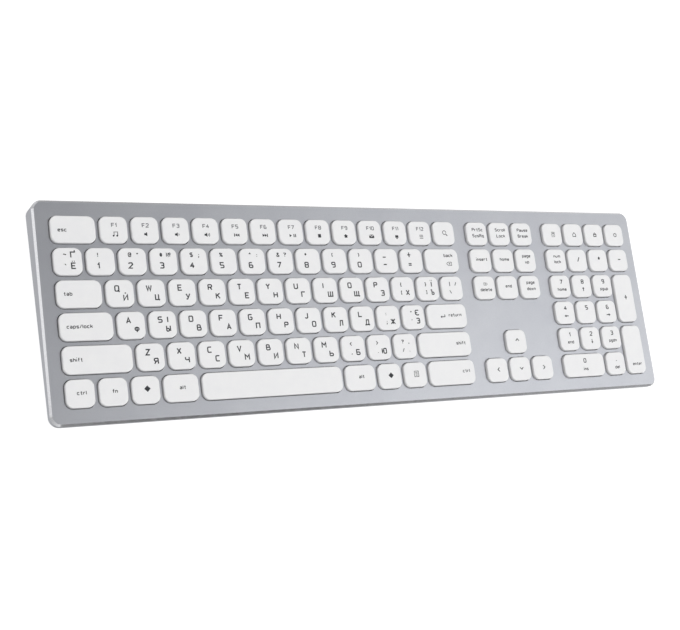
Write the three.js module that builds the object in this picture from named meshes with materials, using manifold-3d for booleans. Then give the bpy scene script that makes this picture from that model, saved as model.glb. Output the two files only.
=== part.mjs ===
// A full-size, slim computer keyboard with a numeric keypad: an aluminium wedge-shaped shell, white
// key caps on rubber domes, and the pieces inside. Millimetres, +Z up, +X to the right of the person
// who types, +Y away from them. The origin is on the desk, under the middle of the keyboard.
//
// Most pieces are drawn in the deck's frame, which is tilted about X: its origin is the middle of the
// deck's top face, "out" is the height above that face, and depths under it are negative.
import * as THREE from "three";
import { mergeVertices } from "three/addons/utils/BufferGeometryUtils.js";
import Module from "manifold-3d";

const manifold = await Module();
manifold.setup();

// ---- Key grid -------------------------------------------------------------------------------
const UNIT = 19.05; // pitch of the keys, both ways
const ROW_COUNT = 6;
const BLOCK_GAP = 0.4125; // space between two blocks of keys, in units
const MAIN_UNITS = 14.5;
const NAVIGATION_UNITS = 3;
const KEYPAD_UNITS = 4;
const NAVIGATION_START = MAIN_UNITS + BLOCK_GAP;
const KEYPAD_START = NAVIGATION_START + NAVIGATION_UNITS + BLOCK_GAP;
const GRID_UNITS = KEYPAD_START + KEYPAD_UNITS;

// ---- Shell ----------------------------------------------------------------------------------
const SIDE_MARGIN = 7.9; // from the key grid to the shell's outer side
const REAR_MARGIN = 8.4;
const FRONT_MARGIN = 8.1;
const WIDTH = GRID_UNITS * UNIT + 2 * SIDE_MARGIN;
const DEPTH = ROW_COUNT * UNIT + REAR_MARGIN + FRONT_MARGIN;
const CORNER_RADIUS = 6;
const CORNER_STEPS = 5;
const RIM_CHAMFER = 1.25;
const DECK_THICKNESS = 1;
const WALL = 1.5;
const FRONT_WALL = 5.4; // the shell's height at its front edge, square to the deck
const REAR_WALL = 15.2;
const TILT = Math.atan((REAR_WALL - FRONT_WALL) / DEPTH);

const FOOT_HEIGHT = 0.8;
const BELLY = 0.8; // how far the cover stands below the shell's walls
const COVER_THICKNESS = 1.2;
const COVER_GAP = 0.35;
const COVER_LIP = 1;
const COVER_LIP_HEIGHT = 2;

// ---- Heights in the deck's frame ------------------------------------------------------------
const KEY_TOP = 1.9; // a pressed key goes down by 1.5
const KEY_CEILING = 1; // thickness of a cap's top
const KEY_SKIRT_BOTTOM = -1.9;
const WEB_TOP = -1.3; // webs that join a row's caps run under the deck
const STEM_BOTTOM = -2.2;
const SLEEVE_TOP = -0.8;
const GUIDE_TOP = -3.6;
const GUIDE_BOTTOM = -4.1;
const DOME_TOP = -2.35;
const DOME_SHEET_TOP = -4.25;
const DOME_SHEET_BOTTOM = -4.5;
const MEMBRANE_TOP = -4.65;
const MEMBRANE_BOTTOM = -4.85;
const BACKING_TOP = -5;
const BACKING_BOTTOM = -5.4;
const BATTERY_TOP = -6.2;
const BATTERY_BOTTOM = -11.2;
const BOARD_TOP = -6.8;
const BOARD_BOTTOM = -7.8;

// ---- Keys -----------------------------------------------------------------------------------
const CAP_GAP_X = 2.45; // between two caps side by side
const CAP_GAP_Y = 2.95; // between two rows of caps
const CAP_RADIUS = 4.2;
const CAP_WALL = 1.6;
const HOLE_CLEARANCE = 0.45; // around each cap, in the deck
const STEM_SIZE = 6;
const SLEEVE_INNER = 6.8;
const SLEEVE_OUTER = 8.4;
const DOME_BASE = 5.6;
const DOME_CROWN = 3.4;
const WEB_WIDTH = 5;
const SHEET_INSET = 1; // inner sheets end this far inside the key grid

// ---- Stabiliser wires -----------------------------------------------------------------------
const WIRE_RADIUS = 0.5;
const WIRE_SIDES = 5;
const WIRE_PIVOT_OFFSET = 4.9; // from the key's middle line to the wire's long run
const WIRE_PIVOT = -2.95;
const WIRE_ARM = 5.5;
const WIRE_TIP = -1.2;
const WIRE_TIP_LENGTH = 3;
const WIRE_END_INSET = 4; // from the cap's end to the wire's arm
const LUG_BOTTOM = -0.5;
const LUG_SIZE = 2;
const CLIP_SIZE = 2;
const CLIP_THICKNESS = 0.6;
const CLIP_TOP = -2.3;
const CLIP_GAP = 0.15;

// ---- Screws and feet ------------------------------------------------------------------------
const POST_RADIUS = 2.25;
const POST_INSET = 6.2; // from the shell's outer side to a post's axis
const POST_BORE = 1.3;
const SCREW_RADIUS = 1;
const SCREW_LENGTH = 4;
const SCREW_HEAD_RADIUS = 1.9;
const SCREW_HEAD_HEIGHT = 0.7;
const SCREW_SINK = 0.3; // from the cover's underside to the screw's head
const DRIVE_SIZE = 1.6; // cross recess, across
const DRIVE_SLOT = 0.45;
const DRIVE_DEPTH = 0.4;
const FIT_GAP = 0.3;
const FOOT_LENGTH = 24;
const FOOT_WIDTH = 8;
const FOOT_INSET_X = 22;
const FOOT_INSET_Y = 12;

// ---- Rear wall pieces -----------------------------------------------------------------------
const BOARD_LENGTH = 96;
const BOARD_WIDTH = 24;
const BOARD_X = -120;
const PORT_X = -145;
const PORT_WIDTH = 8.94;
const PORT_HEIGHT = 3.2;
const PORT_DEPTH = 7.3;
const PORT_WALL = 0.32;
const PORT_TONGUE = [6.6, 4.6, 0.7]; // across, along the port, thick
const PORT_OUT = BOARD_BOTTOM - 0.15 - PORT_HEIGHT / 2;
const SWITCH_X = -105;
const SWITCH_TRAVEL = 3;
const KNOB = [3.4, 3, 1.6]; // across, along the deck, thick
const KNOB_FLANGE = [6, 0.8, 3.2];
const KNOB_OUT = -10.2;
const SLOT = [7, 2.4];
const BATTERY = [78, 34];
const BATTERY_X = 60;
const BATTERY_REAR_GAP = 6; // from the shell's rear face
const BATTERY_RADIUS = 2.5;

// ---- The deck's place on the desk -----------------------------------------------------------
// The rim's front and the rear wall's lower edge reach furthest, and the origin is midway.
const deckY = -((RIM_CHAMFER + REAR_WALL) * Math.sin(TILT)) / 2;
const wallFootZ = FOOT_HEIGHT + BELLY;
const deckZ = wallFootZ + (DEPTH / 2) * Math.sin(TILT) + FRONT_WALL * Math.cos(TILT);
const deckPose = new THREE.Matrix4()
  .makeRotationX(TILT)
  .setPosition(0, deckY, deckZ);
const levelPose = deckPose.clone().invert(); // from the desk's frame to the deck's

// ---- Materials ------------------------------------------------------------------------------
function finish(color, roughness, metalness) {
  return { color, roughness, metalness };
}
const FINISHES = {
  aluminium: finish(0xb4b5ba, 0.42, 0.85),
  cap: finish(0xf0f0f1, 0.5, 0),
  cover: finish(0xb9babf, 0.5, 0.1),
  rubber: finish(0x3a3b3e, 0.9, 0),
  frame: finish(0x2b2c2f, 0.6, 0),
  dome: finish(0xd9dcdc, 0.7, 0),
  membrane: finish(0xcfe0d8, 0.35, 0),
  steel: finish(0xa9acb0, 0.35, 0.95),
  board: finish(0x1f5a38, 0.55, 0),
  cell: finish(0x8f9499, 0.4, 0.5),
  knob: finish(0x4a4b50, 0.5, 0),
};

// ---- Solids ---------------------------------------------------------------------------------
// A closed geometry as a solid that can be joined and cut.
function solid(geometry) {
  const bare = new THREE.BufferGeometry();
  bare.setAttribute("position", geometry.getAttribute("position"));
  if (geometry.index) bare.setIndex(geometry.index);
  const merged = mergeVertices(bare, 1e-4);
  return new manifold.Manifold(
    new manifold.Mesh({
      numProp: 3,
      vertProperties: new Float32Array(merged.attributes.position.array),
      triVerts: new Uint32Array(merged.index.array),
    }),
  );
}

function geometryOf(body) {
  const { vertProperties, triVerts, numProp } = body.getMesh();
  const positions = new Float32Array((vertProperties.length / numProp) * 3);
  for (let i = 0; i < positions.length / 3; i++) {
    positions.set(vertProperties.subarray(i * numProp, i * numProp + 3), i * 3);
  }
  const geometry = new THREE.BufferGeometry();
  geometry.setAttribute("position", new THREE.BufferAttribute(positions, 3));
  geometry.setIndex(new THREE.BufferAttribute(new Uint32Array(triVerts), 1));
  geometry.computeVertexNormals();
  return geometry;
}

function join(bodies) {
  return bodies.reduce((whole, body) => whole.add(body));
}

// A box between two heights, centred on (x, y).
function block(x, y, width, depth, bottom, top) {
  const geometry = new THREE.BoxGeometry(width, depth, top - bottom);
  return solid(geometry.translate(x, y, (bottom + top) / 2));
}

function prism(shape, bottom, top) {
  const options = { depth: top - bottom, bevelEnabled: false, curveSegments: CORNER_STEPS };
  return solid(new THREE.ExtrudeGeometry(shape, options).translate(0, 0, bottom));
}

// A prism drawn as seen from behind the keyboard, from the height y = back to y = front.
function prismAlongY(shape, x, out, front, back) {
  const options = { depth: back - front, bevelEnabled: false, curveSegments: 3 };
  const geometry = new THREE.ExtrudeGeometry(shape, options).rotateX(Math.PI / 2);
  return solid(geometry.translate(x, back, out));
}

function upright(radius, bottom, top, sides, x = 0, y = 0) {
  const geometry = new THREE.CylinderGeometry(radius, radius, top - bottom, sides);
  return solid(geometry.rotateX(Math.PI / 2).translate(x, y, (bottom + top) / 2));
}

function roundedRectangle(width, depth, radius) {
  const x = width / 2 - radius;
  const y = depth / 2 - radius;
  const shape = new THREE.Shape();
  shape.absarc(x, y, radius, 0, Math.PI / 2);
  shape.absarc(-x, y, radius, Math.PI / 2, Math.PI);
  shape.absarc(-x, -y, radius, Math.PI, 1.5 * Math.PI);
  shape.absarc(x, -y, radius, 1.5 * Math.PI, 2 * Math.PI);
  return shape;
}

function outline(x, y, corners) {
  return corners.map(([a, b]) => new THREE.Vector2(x + a, y + b));
}

function rectangle(x, y, width, depth) {
  const right = width / 2;
  const rear = depth / 2;
  return outline(x, y, [[right, rear], [-right, rear], [-right, -rear], [right, -rear]]);
}

// A key's outline: straight cuts that meet the middle of each round corner.
function cutRectangle(x, y, width, depth, radius) {
  const cut = radius * (2 - Math.SQRT2);
  const right = width / 2;
  const rear = depth / 2;
  return outline(x, y, [
    [right, rear - cut], [right - cut, rear], [cut - right, rear], [-right, rear - cut],
    [-right, cut - rear], [cut - right, -rear], [right - cut, -rear], [right, cut - rear],
  ]);
}

// A closed solid turned from nested outlines, as a lathe turns a profile. It goes from the middle of
// its top face out, down and back to the middle: two steps with one outline make a wall, and two
// steps at one height make a flat ring.
function stepped(steps) {
  const corners = [];
  const face = (points, height, triangles, up) => {
    for (const [a, b, c] of triangles) {
      for (const i of up ? [a, b, c] : [c, b, a]) corners.push(points[i].x, points[i].y, height);
    }
  };
  const [top, topHeight] = steps[0];
  const [bottom, bottomHeight] = steps[steps.length - 1];
  face(top, topHeight, THREE.ShapeUtils.triangulateShape(top, []), true);
  steps.slice(1).forEach(([to, toHeight], i) => {
    const [from, fromHeight] = steps[i];
    if (toHeight === fromHeight) {
      const ring = THREE.ShapeUtils.triangulateShape(from, [to]);
      face([...from, ...to], toHeight, ring, false);
      return;
    }
    from.forEach((point, k) => {
      const next = from[(k + 1) % from.length];
      corners.push(point.x, point.y, fromHeight, point.x, point.y, toHeight);
      corners.push(next.x, next.y, toHeight, point.x, point.y, fromHeight);
      corners.push(next.x, next.y, toHeight, next.x, next.y, fromHeight);
    });
  });
  face(bottom, bottomHeight, THREE.ShapeUtils.triangulateShape(bottom, []), false);
  const geometry = new THREE.BufferGeometry();
  geometry.setAttribute("position", new THREE.Float32BufferAttribute(corners, 3));
  return solid(geometry);
}

// ---- Key layout -----------------------------------------------------------------------------
// Each row, from the rear: [node, width in units, how many side by side, height in rows].
const MAIN_ROWS = [
  [["esc_key", 1.5], ["function_keys", 1, 13]],
  [["number_row_keys", 1, 13], ["backspace_key", 1.5]],
  [["tab_key", 1.5], ["q_row_keys", 1, 13]],
  [["caps_lock_key", 1.75], ["a_row_keys", 1, 11], ["enter_key", 1.75]],
  [["left_shift_key", 2.25], ["z_row_keys", 1, 10], ["right_shift_key", 2.25]],
  [
    ["left_modifier_keys", 1, 3], ["left_modifier_keys", 1.25], ["space_bar", 5],
    ["right_modifier_keys", 1.25], ["right_modifier_keys", 1, 2], ["right_modifier_keys", 2],
  ],
];
const NAVIGATION_ROWS = [
  [["navigation_keys", 1, 3]],
  [["navigation_keys", 1, 3]],
  [["navigation_keys", 1, 3]],
  [],
  [[null, 1], ["arrow_keys", 1]],
  [["arrow_keys", 1, 3]],
];
const KEYPAD_ROWS = [
  [1, 2, 3, 4].map((number) => ["keypad_hotkey_" + number, 1]),
  ["num_lock", "divide", "multiply", "minus"].map((name) => ["keypad_" + name + "_key", 1]),
  [["keypad_7_key", 1], ["keypad_8_key", 1], ["keypad_9_key", 1], ["keypad_plus_key", 1, 1, 2]],
  [["keypad_4_key", 1], ["keypad_5_key", 1], ["keypad_6_key", 1]],
  [["keypad_1_key", 1], ["keypad_2_key", 1], ["keypad_3_key", 1], ["keypad_enter_key", 1, 1, 2]],
  [["keypad_0_key", 2], ["keypad_point_key", 1]],
];

function keysOf(rows, startUnit) {
  const keys = [];
  rows.forEach((row, rowIndex) => {
    let unit = startUnit;
    for (const [node, units, count = 1, tall = 1] of row) {
      for (let i = 0; i < count; i++) {
        if (node) {
          keys.push({
            node,
            x: (unit + units / 2 - GRID_UNITS / 2) * UNIT,
            y: DEPTH / 2 - REAR_MARGIN - (rowIndex + tall / 2) * UNIT,
            width: units * UNIT - CAP_GAP_X,
            depth: tall * UNIT - CAP_GAP_Y,
          });
        }
        unit += units;
      }
    }
  });
  return keys;
}

const keys = [
  ...keysOf(MAIN_ROWS, 0),
  ...keysOf(NAVIGATION_ROWS, NAVIGATION_START),
  ...keysOf(KEYPAD_ROWS, KEYPAD_START),
];

// Keys with a stabiliser wire. A tall key's wire runs along Y.
const WIRES = {
  space_bar_wire: "space_bar",
  keypad_zero_wire: "keypad_0_key",
  keypad_plus_wire: "keypad_plus_key",
  keypad_enter_wire: "keypad_enter_key",
};
function keyNamed(node) {
  return keys.find((key) => key.node === node);
}

// ---- Key caps -------------------------------------------------------------------------------
// A hollow cap with a stem under the middle of its top.
function cap({ x, y, width, depth }) {
  const outer = cutRectangle(x, y, width, depth, CAP_RADIUS);
  const hollow = rectangle(x, y, width - 2 * CAP_WALL, depth - 2 * CAP_WALL);
  const stem = rectangle(x, y, STEM_SIZE, STEM_SIZE);
  const ceiling = KEY_TOP - KEY_CEILING;
  return stepped([
    [outer, KEY_TOP],
    [outer, KEY_SKIRT_BOTTOM],
    [hollow, KEY_SKIRT_BOTTOM],
    [hollow, ceiling],
    [stem, ceiling],
    [stem, STEM_BOTTOM],
  ]);
}

// Thin webs between caps that share a node, hidden under the deck.
function webs(group) {
  const bridges = [];
  for (const a of group) {
    for (const b of group) {
      const dx = b.x - a.x;
      const dy = b.y - a.y;
      const gapX = dx - (a.width + b.width) / 2;
      const gapY = dy - (a.depth + b.depth) / 2;
      if (dy === 0 && gapX > 0 && gapX < UNIT / 2) {
        const x = a.x + a.width / 2 + gapX / 2;
        bridges.push(block(x, a.y, gapX + CAP_WALL, WEB_WIDTH, KEY_SKIRT_BOTTOM, WEB_TOP));
      }
      if (Math.abs(dx) < 1e-6 && gapY > 0 && gapY < UNIT / 2) {
        const y = a.y + a.depth / 2 + gapY / 2;
        bridges.push(block(a.x, y, WEB_WIDTH, gapY + CAP_WALL, KEY_SKIRT_BOTTOM, WEB_TOP));
      }
    }
  }
  return bridges;
}

// Where a wire's arms and clips are: its run's length and the direction that it takes.
function wirePlan(key) {
  const tall = key.depth > key.width;
  return { tall, half: Math.max(key.width, key.depth) / 2 - WIRE_END_INSET };
}

// A point given along and across a wire's run, in the deck's frame.
function wirePoint(key, along, across, out) {
  return wirePlan(key).tall
    ? new THREE.Vector3(key.x + across, key.y + along, out)
    : new THREE.Vector3(key.x + along, key.y + across, out);
}

// The two blocks under a long cap that press its wire's tips down.
function lugs(key) {
  const { half } = wirePlan(key);
  return [-1, 1].map((side) => {
    const along = side * (half - WIRE_TIP_LENGTH / 2);
    const place = wirePoint(key, along, WIRE_PIVOT_OFFSET - WIRE_ARM, 0);
    const ceiling = KEY_TOP - KEY_CEILING / 2;
    return block(place.x, place.y, LUG_SIZE, LUG_SIZE, LUG_BOTTOM, ceiling);
  });
}

function keyNode(node) {
  const group = keys.filter((key) => key.node === node);
  const pieces = [...group.map(cap), ...webs(group)];
  if (Object.values(WIRES).includes(node)) pieces.push(...lugs(group[0]));
  return join(pieces);
}

// ---- Stabiliser wires -----------------------------------------------------------------------
function rod(from, to) {
  const length = from.distanceTo(to) + 2 * WIRE_RADIUS * 0.9;
  const geometry = new THREE.CylinderGeometry(WIRE_RADIUS, WIRE_RADIUS, length, WIRE_SIDES);
  const along = to.clone().sub(from).normalize();
  const turn = new THREE.Quaternion().setFromUnitVectors(new THREE.Vector3(0, 1, 0), along);
  const middle = from.clone().add(to).multiplyScalar(0.5);
  return solid(geometry.applyQuaternion(turn).translate(middle.x, middle.y, middle.z));
}

function wire(key) {
  const { half } = wirePlan(key);
  const tipAcross = WIRE_PIVOT_OFFSET - WIRE_ARM;
  const path = [
    wirePoint(key, -half + WIRE_TIP_LENGTH, tipAcross, WIRE_TIP),
    wirePoint(key, -half, tipAcross, WIRE_TIP),
    wirePoint(key, -half, WIRE_PIVOT_OFFSET, WIRE_PIVOT),
    wirePoint(key, half, WIRE_PIVOT_OFFSET, WIRE_PIVOT),
    wirePoint(key, half, tipAcross, WIRE_TIP),
    wirePoint(key, half - WIRE_TIP_LENGTH, tipAcross, WIRE_TIP),
  ];
  return join(path.slice(1).map((point, i) => rod(path[i], point)));
}

// Pairs of upright clips on the guide frame that hold a wire's run between them.
function clips(key) {
  const { tall, half } = wirePlan(key);
  const offset = WIRE_RADIUS + CLIP_GAP + CLIP_THICKNESS / 2;
  const made = [];
  for (const end of [-1, 1]) {
    for (const side of [-1, 1]) {
      const across = WIRE_PIVOT_OFFSET + side * offset;
      const place = wirePoint(key, end * (half - 2 * CLIP_SIZE), across, 0);
      const width = tall ? CLIP_THICKNESS : CLIP_SIZE;
      const depth = tall ? CLIP_SIZE : CLIP_THICKNESS;
      made.push(block(place.x, place.y, width, depth, GUIDE_BOTTOM, CLIP_TOP));
    }
  }
  return made;
}

// ---- Inner sheets ---------------------------------------------------------------------------
const sheetY = (FRONT_MARGIN - REAR_MARGIN) / 2;
function sheet(bottom, top) {
  const width = GRID_UNITS * UNIT - 2 * SHEET_INSET;
  return block(0, sheetY, width, ROW_COUNT * UNIT - 2 * SHEET_INSET, bottom, top);
}

function keyGuideFrame() {
  const sleeves = keys.map(({ x, y }) =>
    block(x, y, SLEEVE_OUTER, SLEEVE_OUTER, GUIDE_BOTTOM, SLEEVE_TOP),
  );
  const holders = Object.values(WIRES).flatMap((node) => clips(keyNamed(node)));
  const bores = keys.map(({ x, y }) =>
    block(x, y, SLEEVE_INNER, SLEEVE_INNER, GUIDE_BOTTOM - 1, SLEEVE_TOP + 1),
  );
  const plate = sheet(GUIDE_BOTTOM, GUIDE_TOP);
  return join([...sleeves, ...holders]).add(plate).subtract(join(bores));
}

function domeSheet() {
  const height = DOME_TOP - DOME_SHEET_BOTTOM;
  const domes = keys.map(({ x, y }) => {
    const geometry = new THREE.CylinderGeometry(
      DOME_CROWN / Math.SQRT2, DOME_BASE / Math.SQRT2, height, 4,
    );
    geometry.rotateX(Math.PI / 2).rotateZ(Math.PI / 4);
    return solid(geometry.translate(x, y, DOME_SHEET_BOTTOM + height / 2));
  });
  return join(domes).add(sheet(DOME_SHEET_BOTTOM, DOME_SHEET_TOP));
}

// ---- Shell and cover ------------------------------------------------------------------------
// Everything below a level plane at the height z over the desk, in the deck's frame.
function below(z) {
  const reach = 2 * WIDTH;
  const geometry = new THREE.BoxGeometry(reach, reach, reach).translate(0, 0, z - reach / 2);
  return solid(geometry.applyMatrix4(levelPose));
}

function shellOutline(inset) {
  return roundedRectangle(WIDTH - 2 * inset, DEPTH - 2 * inset, CORNER_RADIUS - inset);
}

// The shell's outside: a deep prism whose top edge is cut back by the rim's chamfer.
function shellBlank() {
  const deep = 2 * REAR_WALL;
  const geometry = new THREE.ExtrudeGeometry(shellOutline(RIM_CHAMFER), {
    depth: deep,
    bevelEnabled: true,
    bevelSize: RIM_CHAMFER,
    bevelThickness: RIM_CHAMFER,
    bevelSegments: 1,
    curveSegments: CORNER_STEPS,
  });
  return solid(geometry.translate(0, 0, -deep - RIM_CHAMFER));
}

// Post axes, in the desk's frame.
const postPlaces = [-1, 1].flatMap((side) =>
  [-1, 1].map((end) => ({
    x: side * (WIDTH / 2 - POST_INSET),
    y: deckY + end * (DEPTH / 2 - POST_INSET),
    name: (end < 0 ? "front" : "rear") + (side < 0 ? "_left" : "_right"),
  })),
);
const coverTop = FOOT_HEIGHT + COVER_THICKNESS;

function posts() {
  return postPlaces.map(({ x, y }) => {
    const deckHere = deckZ + (y - deckY) * Math.tan(TILT) - DECK_THICKNESS / 2;
    const geometry = new THREE.CylinderGeometry(POST_RADIUS, POST_RADIUS, 1, 8);
    const bottom = coverTop + FIT_GAP;
    geometry.rotateX(Math.PI / 2).scale(1, 1, deckHere - bottom);
    return solid(geometry.translate(x, y, (deckHere + bottom) / 2).applyMatrix4(levelPose));
  });
}

function postBore({ x, y }) {
  const top = coverTop + SCREW_LENGTH - SCREW_HEAD_HEIGHT;
  const geometry = new THREE.CylinderGeometry(POST_BORE, POST_BORE, 2 * top, 8);
  return solid(geometry.rotateX(Math.PI / 2).translate(x, y, 0).applyMatrix4(levelPose));
}

function deckPlate() {
  const inside = prism(shellOutline(WALL), -3 * REAR_WALL, -DECK_THICKNESS);
  const openings = keys.map((key) => {
    const width = key.width + 2 * HOLE_CLEARANCE;
    const depth = key.depth + 2 * HOLE_CLEARANCE;
    const hole = cutRectangle(key.x, key.y, width, depth, CAP_RADIUS + HOLE_CLEARANCE);
    return prism(new THREE.Shape(hole), -2 * DECK_THICKNESS, DECK_THICKNESS);
  });
  let shell = join([shellBlank().subtract(inside), ...posts()]).subtract(below(wallFootZ));
  shell = shell.subtract(join([...openings, ...postPlaces.map(postBore)]));
  const portOpening = roundedRectangle(
    PORT_WIDTH + 2 * FIT_GAP, PORT_HEIGHT + 2 * FIT_GAP, PORT_HEIGHT / 2 + FIT_GAP,
  );
  const rear = DEPTH / 2;
  shell = shell.subtract(prismAlongY(portOpening, PORT_X, PORT_OUT, rear - 2 * WALL, rear + WALL));
  const slot = block(
    SWITCH_X + SWITCH_TRAVEL / 2, rear, SLOT[0], 4 * WALL, KNOB_OUT - SLOT[1] / 2, KNOB_OUT + SLOT[1] / 2,
  );
  return shell.subtract(slot);
}

// The cover, in the desk's frame: a level floor with a lip that fits inside the shell's walls.
function bottomCover() {
  const reach = 3 * REAR_WALL;
  const outer = prism(shellOutline(WALL + COVER_GAP), -reach, -DECK_THICKNESS - FIT_GAP);
  const inner = prism(shellOutline(WALL + COVER_GAP + COVER_LIP), -reach, 0);
  const floor = outer.subtract(below(FOOT_HEIGHT)).intersect(below(coverTop));
  const lip = outer
    .subtract(inner)
    .subtract(below(coverTop - COVER_THICKNESS / 2))
    .intersect(below(coverTop + COVER_LIP_HEIGHT));
  let cover = solid(geometryOf(floor.add(lip)).applyMatrix4(deckPose));
  for (const { x, y } of postPlaces) {
    const shank = upright(SCREW_RADIUS + FIT_GAP, 0, 2 * coverTop, 8, x, y);
    const headTop = FOOT_HEIGHT + SCREW_SINK + SCREW_HEAD_HEIGHT;
    const head = upright(SCREW_HEAD_RADIUS + FIT_GAP, 0, headTop + 0.05, 12, x, y);
    cover = cover.subtract(shank).subtract(head);
  }
  return cover;
}

// ---- Screws and feet, in the desk's frame ---------------------------------------------------
function screw({ x, y }) {
  const headBottom = FOOT_HEIGHT + SCREW_SINK;
  const headTop = headBottom + SCREW_HEAD_HEIGHT;
  const head = upright(SCREW_HEAD_RADIUS, headBottom, headTop, 12, x, y);
  const shank = upright(SCREW_RADIUS, headBottom + DRIVE_DEPTH + 0.1, headBottom + SCREW_LENGTH, 8, x, y);
  const drive = [0, 1].map((turned) =>
    block(
      x, y, turned ? DRIVE_SLOT : DRIVE_SIZE, turned ? DRIVE_SIZE : DRIVE_SLOT,
      headBottom - 1, headBottom + DRIVE_DEPTH,
    ),
  );
  return head.add(shank).subtract(join(drive));
}

function foot(side, end) {
  const shape = roundedRectangle(FOOT_LENGTH, FOOT_WIDTH, FOOT_WIDTH / 2 - 0.01);
  const options = { depth: FOOT_HEIGHT, bevelEnabled: false, curveSegments: 3 };
  const x = side * (WIDTH / 2 - FOOT_INSET_X);
  const y = end * (DEPTH / 2 - FOOT_INSET_Y);
  return solid(new THREE.ExtrudeGeometry(shape, options).translate(x, y, 0));
}

// ---- Electronics ----------------------------------------------------------------------------
const boardY = DEPTH / 2 - WALL - 1 - BOARD_WIDTH / 2;

function circuitBoard() {
  const underside = BOARD_BOTTOM + 0.2;
  const board = block(BOARD_X, boardY, BOARD_LENGTH, BOARD_WIDTH, BOARD_BOTTOM, BOARD_TOP);
  const processor = block(BOARD_X + 3, boardY - 2, 7, 7, BOARD_BOTTOM - 0.9, underside);
  const antenna = block(BOARD_X + 38, boardY + 5, 12, 6, BOARD_BOTTOM - 0.4, underside);
  const batterySocket = block(BOARD_X + 42, boardY - 8, 6, 5, BOARD_BOTTOM - 2.5, underside);
  const switchY = DEPTH / 2 - WALL - KNOB_FLANGE[1] - 1 - 3.5 / 2;
  const switchBody = block(SWITCH_X, switchY - 0.4, 9, 3, BOARD_BOTTOM - 3.4, underside);
  return join([board, processor, antenna, batterySocket, switchBody]);
}

function usbPort() {
  const mouth = DEPTH / 2 - 0.3;
  const back = mouth - PORT_DEPTH;
  const outer = roundedRectangle(PORT_WIDTH, PORT_HEIGHT, PORT_HEIGHT / 2 - 0.01);
  const innerHeight = PORT_HEIGHT - 2 * PORT_WALL;
  const inner = roundedRectangle(PORT_WIDTH - 2 * PORT_WALL, innerHeight, innerHeight / 2 - 0.01);
  const shell = prismAlongY(outer, PORT_X, PORT_OUT, back, mouth);
  const cavity = prismAlongY(inner, PORT_X, PORT_OUT, back + 1, mouth + 1);
  const [across, along, thick] = PORT_TONGUE;
  const tongue = block(
    PORT_X, back + 0.5 + along / 2, across, along + 1, PORT_OUT - thick / 2, PORT_OUT + thick / 2,
  );
  return shell.subtract(cavity).add(tongue);
}

function powerSwitchKnob() {
  const outside = DEPTH / 2 - 0.3;
  const [across, along, thick] = KNOB;
  const knob = block(
    SWITCH_X, outside - along / 2, across, along, KNOB_OUT - thick / 2, KNOB_OUT + thick / 2,
  );
  const [flangeAcross, flangeAlong, flangeThick] = KNOB_FLANGE;
  const flangeY = DEPTH / 2 - WALL - FIT_GAP - flangeAlong / 2;
  const flange = block(
    SWITCH_X, flangeY, flangeAcross, flangeAlong, KNOB_OUT - flangeThick / 2, KNOB_OUT + flangeThick / 2,
  );
  return knob.add(flange);
}

function battery() {
  const [width, depth] = BATTERY;
  const shape = roundedRectangle(width, depth, BATTERY_RADIUS);
  const options = { depth: BATTERY_TOP - BATTERY_BOTTOM, bevelEnabled: false, curveSegments: 3 };
  const y = DEPTH / 2 - BATTERY_REAR_GAP - depth / 2;
  return solid(
    new THREE.ExtrudeGeometry(shape, options).translate(BATTERY_X, y, BATTERY_BOTTOM),
  );
}

// ---- Assembly -------------------------------------------------------------------------------
const keyboard = new THREE.Group();
const deck = new THREE.Group();
deck.position.set(0, deckY, deckZ);
deck.rotation.x = TILT;
keyboard.add(deck);

function place(group, name, body, look) {
  const mesh = new THREE.Mesh(geometryOf(body), new THREE.MeshStandardMaterial(FINISHES[look]));
  mesh.name = name;
  group.add(mesh);
}

place(deck, "deck_plate", deckPlate(), "aluminium");
for (const node of new Set(keys.map((key) => key.node))) place(deck, node, keyNode(node), "cap");
for (const [name, node] of Object.entries(WIRES)) place(deck, name, wire(keyNamed(node)), "steel");
place(deck, "key_guide_frame", keyGuideFrame(), "frame");
place(deck, "dome_sheet", domeSheet(), "dome");
place(deck, "contact_membrane", sheet(MEMBRANE_BOTTOM, MEMBRANE_TOP), "membrane");
place(deck, "backing_plate", sheet(BACKING_BOTTOM, BACKING_TOP), "steel");
place(deck, "circuit_board", circuitBoard(), "board");
place(deck, "usb_port", usbPort(), "steel");
place(deck, "power_switch_knob", powerSwitchKnob(), "knob");
place(deck, "battery", battery(), "cell");
place(keyboard, "bottom_cover", bottomCover(), "cover");
for (const post of postPlaces) place(keyboard, "screw_" + post.name, screw(post), "steel");
for (const side of [-1, 1]) {
  for (const end of [-1, 1]) {
    const name = "foot_" + (end < 0 ? "front" : "rear") + (side < 0 ? "_left" : "_right");
    place(keyboard, name, foot(side, end), "rubber");
  }
}

export default keyboard;
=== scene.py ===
"""A full-size computer keyboard with a numeric keypad, as it looks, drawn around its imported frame.

Sizes and places come from the frame's nodes. Pieces are drawn in millimetres, in one of two frames.
The deck's frame starts in the middle of the deck's top face: u to the right, v to the rear along
the deck, and w out of it. The desk's frame is x, y, z, for what stands on the desk. DECK and DESK
take them to the frame's metres.
"""

import math

import bmesh
import bpy
from mathutils import Matrix, Vector
from mathutils.geometry import delaunay_2d_cdt, tessellate_polygon


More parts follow.
